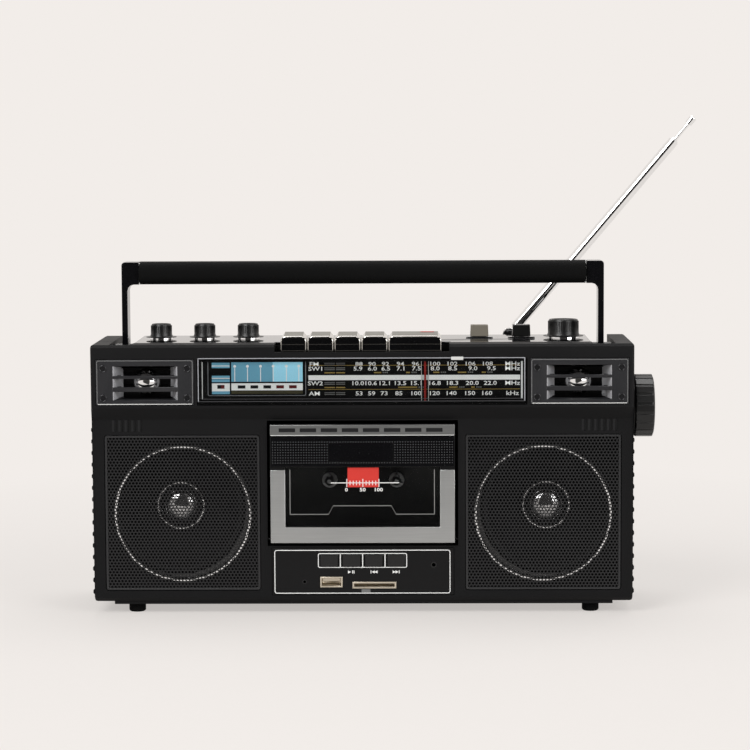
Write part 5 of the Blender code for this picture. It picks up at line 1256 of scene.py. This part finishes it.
class STEREO_OT_tuner(bpy.types.Operator):
    """Tuner window, printed dial, indicator panel and pointer"""

    bl_idname = "stereo.tuner"
    bl_label = "Tuner"

    def execute(self, context):
        refined("dial_plate", "dial_panel")
        self.window()
        self.scales()
        self.indicator()
        self.pointer()
        return {"FINISHED"}

    def window(self):
        Form().slab(-102.6, 128.3, 102.6, 156.3, -44.7, -43.5, 1.0).piece(
            "tuner_window_pane", "cabinet", "clear_plastic", 0.3, slot="clear", replaces=("tuner_window",)
        )
        # Pale lines along the window's top and sides are painted highlights on its rounded edges.
        line = Form().slab(-102.6, 157.0, 101.9, 157.5, -45.1, -44.6)
        line.slab(-102.6, 130.4, -102.1, 157.0, -45.1, -44.4).slab(101.4, 130.4, 101.9, 157.0, -45.1, -44.4)
        line.piece("tuner_window_line", "cabinet", "frame_ink", slot="silver_plastic")
        # Dim lines along the bottom are fainter painted highlights.
        lower = Form().slab(-102.6, 130.0, 101.9, 130.4, -45.1, -44.4).slab(-99.8, 131.6, 101.0, 131.9, -44.9, -44.4)
        lower.piece("tuner_window_lower_line", "cabinet", "faint_ink", slot="grey_plastic")
        # The pale tab's colour is a painted highlight.
        Form().slab(55.7, 155.9, 63.4, 158.0, -45.3, -44.6, 0.5).piece(
            "tuner_window_tab", "cabinet", "pale_edge", 0.15, slot="silver_plastic"
        )

    def scales(self):
        white, gold, grey = Form(), Form(), Form()
        face = DIAL_FACE
        for label, z, unit, numbers, columns in DIAL_ROWS:
            white.words(label, LABEL_X + 0.7 * len(label), z, DIGIT_HEIGHT, **LETTERING)
            white.words(unit, UNIT_X, z, DIGIT_HEIGHT, **LETTERING)
            for x, number in zip(columns, numbers.split()):
                white.words(number, x, z, DIGIT_HEIGHT, **LETTERING)
            for left, right in BAND_BARS:
                for low in (-0.9, 0.2):
                    grey.slab(left, z + low, right, z + low + 0.6, face - 0.04, face + 0.1)
        white.slab(-33.6, 143.0, 99.0, 146.1, face - 0.05, face + 0.1)
        white.slab(99.5, 131.0, 100.6, 155.6, face - 0.05, face + 0.1)
        white.slab(-100.5, 131.2, -100.0, 156.0, face - 0.05, face + 0.1)
        for z in (152.1, 137.0):
            gold.slab(-33.6, z, 99.0, z + 0.3, face - 0.04, face + 0.1)
        for z, spans in (
            (147.3, ((7.5, 12.0), (27.6, 30.1), (44.6, 48.4), (60.0, 65.3), (75.0, 77.5))),
            (138.0, ((22.6, 34.5), (54.5, 59.9), (68.4, 70.6))),
        ):
            for left, right in spans:
                gold.slab(left, z, right, z + 0.8, face - 0.04, face + 0.1)
                for step in (0.9, 2.1, 3.3):
                    grey.slab(right + step, z, right + step + 0.9, z + 0.9, face - 0.04, face + 0.1)
            for left, right in BAND_BARS:
                gold.slab(left, z, right, z + 0.7, face - 0.04, face + 0.1)
        # The white print is given a painted glow.
        white.piece("dial_white_print", "cabinet", "lit_white", slot="dial")
        gold.piece("dial_gold_print", "cabinet", "gold_ink", slot="dial")
        grey.piece("dial_grey_print", "cabinet", "grey_ink", slot="dial")

    def indicator(self):
        """The panel at the left of the dial: a lamp column and a row of level lamps under a scale."""
        face = DIAL_FACE
        blue, pale, white, dark, olive, red = (Form() for _ in range(6))
        frame_line = Form().line_frame(-96.9, 133.2, -35.1, 155.5, 0.5, face - 0.1, face + 0.1, 1.2)
        frame_line.piece("indicator_line", "cabinet", "frame_ink", slot="dial")
        for low, high in ((150.8, 154.2), (144.6, 146.0), (142.0, 143.8), (134.4, 136.2)):
            blue.slab(-94.2, low, -83.0, high, face - 0.05, face + 0.1)
        blue.slab(-82.0, 142.2, -56.0, 154.4, face - 0.05, face + 0.1)
        pale.slab(-56.0, 142.2, -37.2, 154.4, face - 0.05, face + 0.1)
        for low in (151.9, 144.1, 136.2):
            white.slab(-94.2, low, -83.0, low + 0.5, face - 0.08, face + 0.1)
        white.slab(-94.2, 136.7, -83.0, 141.2, face - 0.05, face + 0.1)
        white.slab(-82.0, 136.7, -37.2, 141.2, face - 0.05, face + 0.1)
        for x in LAMP_LINES:
            white.slab(x - 0.25, 142.3, x + 0.25, 150.8, face - 0.08, face + 0.1)
            white.prism(circle(x, 151.9, 0.9, 12), face - 0.08, face + 0.1)
        dark.slab(-90.8, 137.8, -88.5, 140.2, face - 0.1, face + 0.1)
        red.slab(-88.5, 137.8, -86.3, 140.2, face - 0.1, face + 0.1)
        lamps = ((-75.6, dark), (-67.6, dark), (-59.5, dark), (-51.4, red), (-43.4, red))
        for x, form in lamps:
            form.slab(x - 2.4, 137.9, x + 2.4, 139.9, face - 0.1, face + 0.1)
        olive.slab(-82.0, 134.6, -37.2, 136.4, face - 0.05, face + 0.1)
        # The blue, pale blue and white prints are given a painted glow.
        for name, form, material in (
            ("indicator_blue", blue, "blue_panel"),
            ("indicator_pale_blue", pale, "pale_blue_panel"),
            ("indicator_white", white, "lit_white"),
            ("indicator_lamps", dark, "black_ink"),
            ("indicator_red_lamps", red, "dark_red"),
            ("indicator_olive", olive, "olive_ink"),
        ):
            form.piece(name, "cabinet", material, slot="dial")

    def pointer(self):
        Form().slab(36.9, 127.0, 41.9, 155.6, -40.75, -40.0).piece(
            "pointer_carriage", "dial_pointer", "smoky_plastic", slot="clear", replaces=("dial_pointer",)
        )
        edges = Form()
        for x in (37.0, 41.4):
            edges.slab(x, POINTER_LOW, x + 0.4, POINTER_HIGH, -40.85, -40.6)
        edges.piece("pointer_edges", "dial_pointer", "white_ink", slot="dial")
        Form().slab(38.9, POINTER_LOW, 40.1, POINTER_HIGH, -40.95, -40.6).piece(
            "pointer_line", "dial_pointer", "red_ink", slot="red_plastic"
        )


KNOB_CENTRE = mm(0, -21, 124.8)
FLUTES = 20
FLUTE_OUTLINE = [(-2.6, 18.4), (2.6, 18.4), (2.2, 19.6), (-2.2, 19.6)]
FLUTE_LOW_X, FLUTE_HIGH_X = 171.9, 182.9


class STEREO_OT_tuning_knob(bpy.types.Operator):
    """The large fluted tuning knob on the right side"""

    bl_idname = "stereo.tuning_knob"
    bl_label = "Tuning knob"

    def execute(self, context):
        refined("tuning_knob", "knob_black", 0.4)
        flute = Form().prism(FLUTE_OUTLINE, FLUTE_LOW_X, FLUTE_HIGH_X, axis="x")
        repeated(
            "tuning_knob_flutes",
            ring_tree(),
            flute,
            "tuning_knob",
            "knob_black",
            slot="soft_black",
            Count=FLUTES,
            Centre=KNOB_CENTRE,
            Axis=(1, 0, 0),
            bevel=0.3,
        )
        return {"FINISHED"}


# ---------------------------------------------------------------- cassette deck


DOOR_FRAME = [
    (-57.9, 40.2), (57.9, 40.2), (57.9, 86.4), (48.7, 86.4),
    (48.7, 50.2), (-48.7, 50.2), (-48.7, 86.4), (-57.9, 86.4),
]
# Path of the painted highlight along the window box's stepped lower edge, in mm.
PANE_HIGHLIGHT_PATH = [(-45.9, 58.3), (-21.5, 58.3), (-18.5, 63.7), (18.0, 63.7), (21.0, 58.3), (45.3, 58.3)]
STRIP_WINDOWS, STRIP_STEP = 8, 13.2
COUNTER_STEP, COUNTER_Z = 2.02, 78.2


class STEREO_OT_cassette_door(bpy.types.Operator):
    """Cassette door: silver frame, trim with its slots and dots, pane, red scale"""

    bl_idname = "stereo.cassette_door"
    bl_label = "Cassette door"

    def execute(self, context):
        refined("cassette_door", "panel_plastic", 0.25)
        refined("door_trim", "gloss_black", 0.15)
        self.silver_frame()
        self.trim()
        self.pane()
        return {"FINISHED"}

    def silver_frame(self):
        """A U of brushed silver down both sides and along the bottom."""
        Form().prism(DOOR_FRAME, -41.55, -40.8).piece(
            "door_silver_frame", "door", "door_silver", 0.25, slot="silver_plastic"
        )

    def trim(self):
        # The strip's silver is darkened: painted shade.
        strip = Form().slab(-57.9, 108.7, 57.9, 115.1, -42.4, -41.2)
        strip.piece("door_top_strip", "door", "door_silver_dark", 0.25, slot="silver_plastic")
        # A pale line under the strip: a painted highlight on its lower edge.
        Form().slab(-57.6, 108.3, 57.6, 108.75, -42.5, -41.6).piece(
            "door_strip_edge", "door", "pale_edge", slot="silver_plastic"
        )
        windows = Form()
        for place in range(STRIP_WINDOWS):
            x = -52.4 + STRIP_STEP * place
            windows.slab(x, 110.6, x + 10.3, 113.0, -42.52, -42.2, 0.3)
        windows.piece("door_strip_windows", "door", "black_ink", slot="gloss_black")
        dot = Form().turned([(0.38, 0.1), (0.38, -0.05), (0.2, -0.16), (0, -0.18)], (0, 0, 0), "y", 8)
        repeated(
            "door_trim_dots",
            rows_tree(),
            dot,
            "door",
            "trim_dot",
            slot="gloss_black",
            Columns=70,
            Rows=9,
            Start=mm(-56.4, -42.0, 91.0),
            Column_step=mm(1.635, 0, 0),
            Row_step=mm(0, 0, 1.65),
        )
        Form().slab(-21.5, 91.9, 19.5, 103.4, -42.35, -41.9, 0.5).piece(
            "door_name_plate", "door", "gloss_black", 0.15, slot="gloss_black"
        )

    def pane(self):
        Form().slab(-48.9, 50.1, 48.9, 88.2, -40.5, -39.1).piece(
            "door_window_pane", "door", "clear_plastic", slot="clear", replaces=("door_window",)
        )
        # Grey lines along the pane's sides and its stepped bottom edge are painted highlights on the edges of the clear
        # window box.
        edge = Form()
        for x in (-45.9, 44.9):
            edge.slab(x, 58.3, x + 0.45, 86.6, -40.65, -40.3)
        for (x0, z0), (x1, z1) in zip(PANE_HIGHLIGHT_PATH, PANE_HIGHLIGHT_PATH[1:]):
            edge.prism([(x0, z0 - 0.22), (x1, z1 - 0.22), (x1, z1 + 0.22), (x0, z0 + 0.22)], -40.65, -40.3)
        edge.piece("door_pane_lines", "door", "grey_ink", slot="clear")
        # The red patch glows a little: a painted glow on the printed red.
        Form().slab(-9.4, 75.5, 10.2, 87.9, -40.75, -40.3).piece(
            "door_red_patch", "door", "red_patch", slot="red_plastic"
        )
        marks = Form().slab(-20.0, 78.0, 23.0, 78.5, -40.85, -40.5)
        for step in range(11):
            x, half = step * COUNTER_STEP - 9.9, 2.5 if step % 5 == 0 else 1.4
            marks.slab(x - 0.25, COUNTER_Z - half, x + 0.25, COUNTER_Z + half, -40.85, -40.5)
        for number, x in (("0", -10.2), ("50", 0.1), ("100", 10.2)):
            marks.words(number, x, 73.9, 2.3, -40.5, stretch=1.25, bold=0.02)
        marks.piece("door_counter_marks", "door", "white_ink", slot="dial")


class STEREO_OT_deck(bpy.types.Operator):
    """What shows behind the door, and the inside parts that keep their own shapes"""

    bl_idname = "stereo.deck"
    bl_label = "Deck"

    def execute(self, context):
        refined("deck_chassis", "panel_plastic", 0.2)
        for side in SIDES:
            refined(f"spindle_{side}", "dark_steel", 0.15)
        refined("tape_head", "steel", 0.2)
        refined("capstan_flywheel", "steel", 0.1)
        paint("dark_steel", "drive_motor")
        paint("iron", "transformer")
        paint("board_green", "main_board")
        return {"FINISHED"}


KEYS = {
    "key_pause": (-50.9, -34.7),
    "key_stop_eject": (-34.0, -17.8),
    "key_fast_forward": (-17.1, -0.9),
    "key_rewind": (-0.2, 16.0),
    "key_play_record": (16.7, 49.8),
}


KEY_INLAY = [(-38.6, 170.95), (-25.0, 172.2), (-25.0, 172.45), (-38.6, 171.2)]


class STEREO_OT_keys(bpy.types.Operator):
    """The five plated keys with dark fronts and duller tops"""

    bl_idname = "stereo.keys"
    bl_label = "Keys"

    def execute(self, context):
        for node, (low, high) in KEYS.items():
            refined(node, "plating", 0.55, 3)
            fronts = Form().slab(low + 0.9, 165.9, high - 0.9, 169.9, -42.42, -41.9, 0.5)
            fronts.slab(low + 0.6, 162.0, high - 0.6, 165.5, -42.42, -41.9, 0.3)
            fronts.piece(node + "_front", node, "horn_black", 0.1, slot="gloss_black")
            Form().prism(KEY_INLAY, low + 2.2, high - 2.2, axis="x").piece(
                node + "_top", node, "key_top", slot="plated_plastic"
            )
        low, high = KEYS["key_play_record"]
        Form().slab(low + 20.0, -27.6, high - 4.6, -25.4, 171.8, 172.45, 0.4, axis="z").piece(
            "key_red_mark", "key_play_record", "red_ink", slot="red_plastic"
        )
        return {"FINISHED"}


# ---------------------------------------------------------------- player panel

BUTTONS = ("mode", "play", "back", "next")
PRINT_LAYER = (-39.42, -39.2)
HOLE_RIMS = (((44.6, 25.9), 1.9, 1.2), ((-36.9, 15.2), 1.5, 0.9))


class STEREO_OT_player_panel(bpy.types.Operator):
    """The panel with four buttons, a port and a card slot"""

    bl_idname = "stereo.player_panel"
    bl_label = "Player panel"

    def execute(self, context):
        refined("media_panel", "panel_plastic", 0.15)
        for name in BUTTONS:
            refined("button_" + name, "gloss_black", 0.4, 3)
        refined("usb_port", "port_metal", 0.15)
        refined("card_slot", "port_metal", 0.1)
        lines = Form().line_frame(-55.9, 7.7, 55.1, 35.5, 0.5, *PRINT_LAYER, 1.6)
        lines.line_frame(-28.4, 24.1, 27.8, 33.4, 0.5, *PRINT_LAYER, 1.2)
        for x in (-14.3, -0.2, 13.9):
            lines.slab(x - 0.3, 24.3, x + 0.3, 33.2, *PRINT_LAYER)
        self.signs(lines)
        lines.piece("player_white_print", "cabinet", "white_ink", slot="dial")
        rings = Form()
        for (x, z), outer, inner in HOLE_RIMS:
            section = [(outer, -39.45), (outer, -39.2), (inner, -39.2), (inner, -39.45)]
            rings.turned(section, (x, 0, z), "y", 24, closed=True)
        rings.piece("player_hole_rims", "cabinet", "gloss_black", slot="gloss_black")
        Form().slab(-1.0, 8.3, 4.6, 10.4, -39.5, -39.2, 0.4).piece(
            "card_slot_notch", "cabinet", "dim_edge", slot="grey_plastic"
        )
        return {"FINISHED"}

    def signs(self, form):
        """The usual signs for play and pause, back and next, under their buttons."""
        z, half = 21.4, 0.95

        def arrow(x, way):
            points = [(x - way * half, z - half), (x + way * half, z), (x - way * half, z + half)]
            form.prism(points if way > 0 else points[::-1], *PRINT_LAYER)

        def bar(x):
            form.slab(x - 0.25, z - half, x + 0.25, z + half, *PRINT_LAYER)

        arrow(-8.5, 1)
        bar(-6.6)
        bar(-5.7)
        bar(5.0)
        arrow(6.4, -1)
        arrow(8.2, -1)
        arrow(19.6, 1)
        arrow(21.4, 1)
        bar(22.8)


# ---------------------------------------------------------------- top controls, handle and aerial

# Radius and height of each knob, in mm
KNOBS = {"knob_volume": (6.5, 9.9), "knob_tone": (6.5, 9.9), "knob_balance": (6.5, 9.9), "knob_band": (9.6, 12.0)}
KNOB_RING_HEIGHT = 1.3
ARM_HIGHLIGHT_X, ARM_HIGHLIGHT_Z = 141.4, (202.4, 215.6)


class STEREO_OT_top_controls(bpy.types.Operator):
    """Knobs with bright rings, and slide switches, on the top"""

    bl_idname = "stereo.top_controls"
    bl_label = "Top controls"

    def execute(self, context):
        for node, (radius, tall) in KNOBS.items():
            low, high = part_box(node)
            x, y = (low[0] + high[0]) / 2 / MM, (low[1] + high[1]) / 2 / MM
            base, top = TOP_Z + KNOB_RING_HEIGHT, TOP_Z + tall
            profile = [
                (0, base), (radius + 3.3, base), (radius + 3.3, base + 0.35), (radius + 0.9, base + 0.6),
                (radius + 0.35, base + 1.8), (radius - 0.1, top - 0.9), (radius - 0.6, top),
                (radius - 1.3, top), (radius - 2.0, top - 0.8), (0, top - 0.8),
            ]
            Form().turned(profile, (x, y, 0), "z", 64).piece(
                node + "_body", node, "knob_black", 0.12, slot="soft_black", replaces=(node,)
            )
            Form().turned(
                [(0, TOP_Z + 0.1), (radius + 0.9, TOP_Z + 0.1), (radius + 0.75, base), (0, base)], (x, y, 0), "z", 64
            ).piece(node + "_ring", node, "chrome", slot="chrome")
            rib = Form().prism(
                [(radius - 0.6, -0.3), (radius + 0.28, -0.2), (radius + 0.28, 0.2), (radius - 0.6, 0.3)],
                TOP_Z + 3.4,
                top - 1.1,
                axis="z",
            )
            repeated(
                node + "_ribs",
                ring_tree(),
                rib,
                node,
                "knob_black",
                slot="soft_black",
                Count=int(radius * 6),
                Centre=mm(x, y, 0),
                Axis=(0, 0, 1),
            )
            Form().slab(x - 0.35, y - radius + 2.1, x + 0.35, y - 1.4, top - 0.9, top - 0.65, axis="z").piece(
                node + "_mark", node, "white_ink", slot="dial"
            )
        refined("slide_function", "slide_grey", 0.3)
        refined("slide_mode", "knob_black", 0.3)
        return {"FINISHED"}


class STEREO_OT_handle(bpy.types.Operator):
    """Folding handle: soft grip, glossy arms and a pale strip where they meet, a painted highlight on the arms' edges
    """

    bl_idname = "stereo.handle"
    bl_label = "Handle"

    def execute(self, context):
        refined("handle_grip", "soft_black", 0.5, 3)
        for side, sign in SIDES.items():
            refined(f"handle_arm_{side}", "gloss_black", 0.45, 3)
            # A pale strip down the arm's front edge: a painted highlight.
            x = sign * ARM_HIGHLIGHT_X
            low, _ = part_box(f"handle_arm_{side}")
            front = low[1] / MM - 0.08
            Form().slab(x - 0.25, ARM_HIGHLIGHT_Z[0], x + 0.25, ARM_HIGHLIGHT_Z[1], front, front + 0.4).piece(
                f"handle_edge_{side}", "handle", "pale_edge", slot="silver_plastic"
            )
        return {"FINISHED"}


class STEREO_OT_aerial(bpy.types.Operator):
    """Telescopic aerial and its bracket"""

    bl_idname = "stereo.aerial"
    bl_label = "Aerial"

    def execute(self, context):
        refined("antenna_bracket", "chrome", 0.2)
        for node in ("antenna_tube", "antenna_section_1", "antenna_section_2", "antenna_tip"):
            refined(node, "chrome", 0.15)
        return {"FINISHED"}


# ---------------------------------------------------------------- panel and registration

MAKERS = (
    STEREO_OT_stage,
    STEREO_OT_cabinet,
    STEREO_OT_grilles,
    STEREO_OT_speakers,
    STEREO_OT_tweeters,
    STEREO_OT_tuner,
    STEREO_OT_tuning_knob,
    STEREO_OT_cassette_door,
    STEREO_OT_deck,
    STEREO_OT_keys,
    STEREO_OT_player_panel,
    STEREO_OT_top_controls,
    STEREO_OT_handle,
    STEREO_OT_aerial,
)


class STEREO_PT_panel(bpy.types.Panel):
    """Lists the settings and the makers of the pieces"""

    bl_idname = "STEREO_PT_panel"
    bl_label = "Portable stereo"
    bl_space_type = "VIEW_3D"
    bl_region_type = "UI"
    bl_category = "Stereo"

    def draw(self, context):
        for group, settings in LOOKS.items():
            box = self.layout.box()
            box.label(text=settings.__doc__.rstrip("."))
            for name in settings.__annotations__:
                box.prop(getattr(context.scene, "stereo_" + group), name)
        for maker in MAKERS:
            self.layout.operator(maker.bl_idname)


def register():
    for made in (*LOOKS.values(), *MAKERS, STEREO_PT_panel):
        bpy.utils.register_class(made)
    for group, settings in LOOKS.items():
        setattr(bpy.types.Scene, "stereo_" + group, PointerProperty(type=settings))


def unregister():
    for group in LOOKS:
        delattr(bpy.types.Scene, "stereo_" + group)
    for made in reversed((*LOOKS.values(), *MAKERS, STEREO_PT_panel)):
        bpy.utils.unregister_class(made)


def main():
    register()
    for maker in MAKERS:
        group, name = maker.bl_idname.split(".")
        if getattr(getattr(bpy.ops, group), name)() != {"FINISHED"}:
            raise RuntimeError(f"{maker.bl_label} wasn't made")


if __name__ == "__main__":
    main()
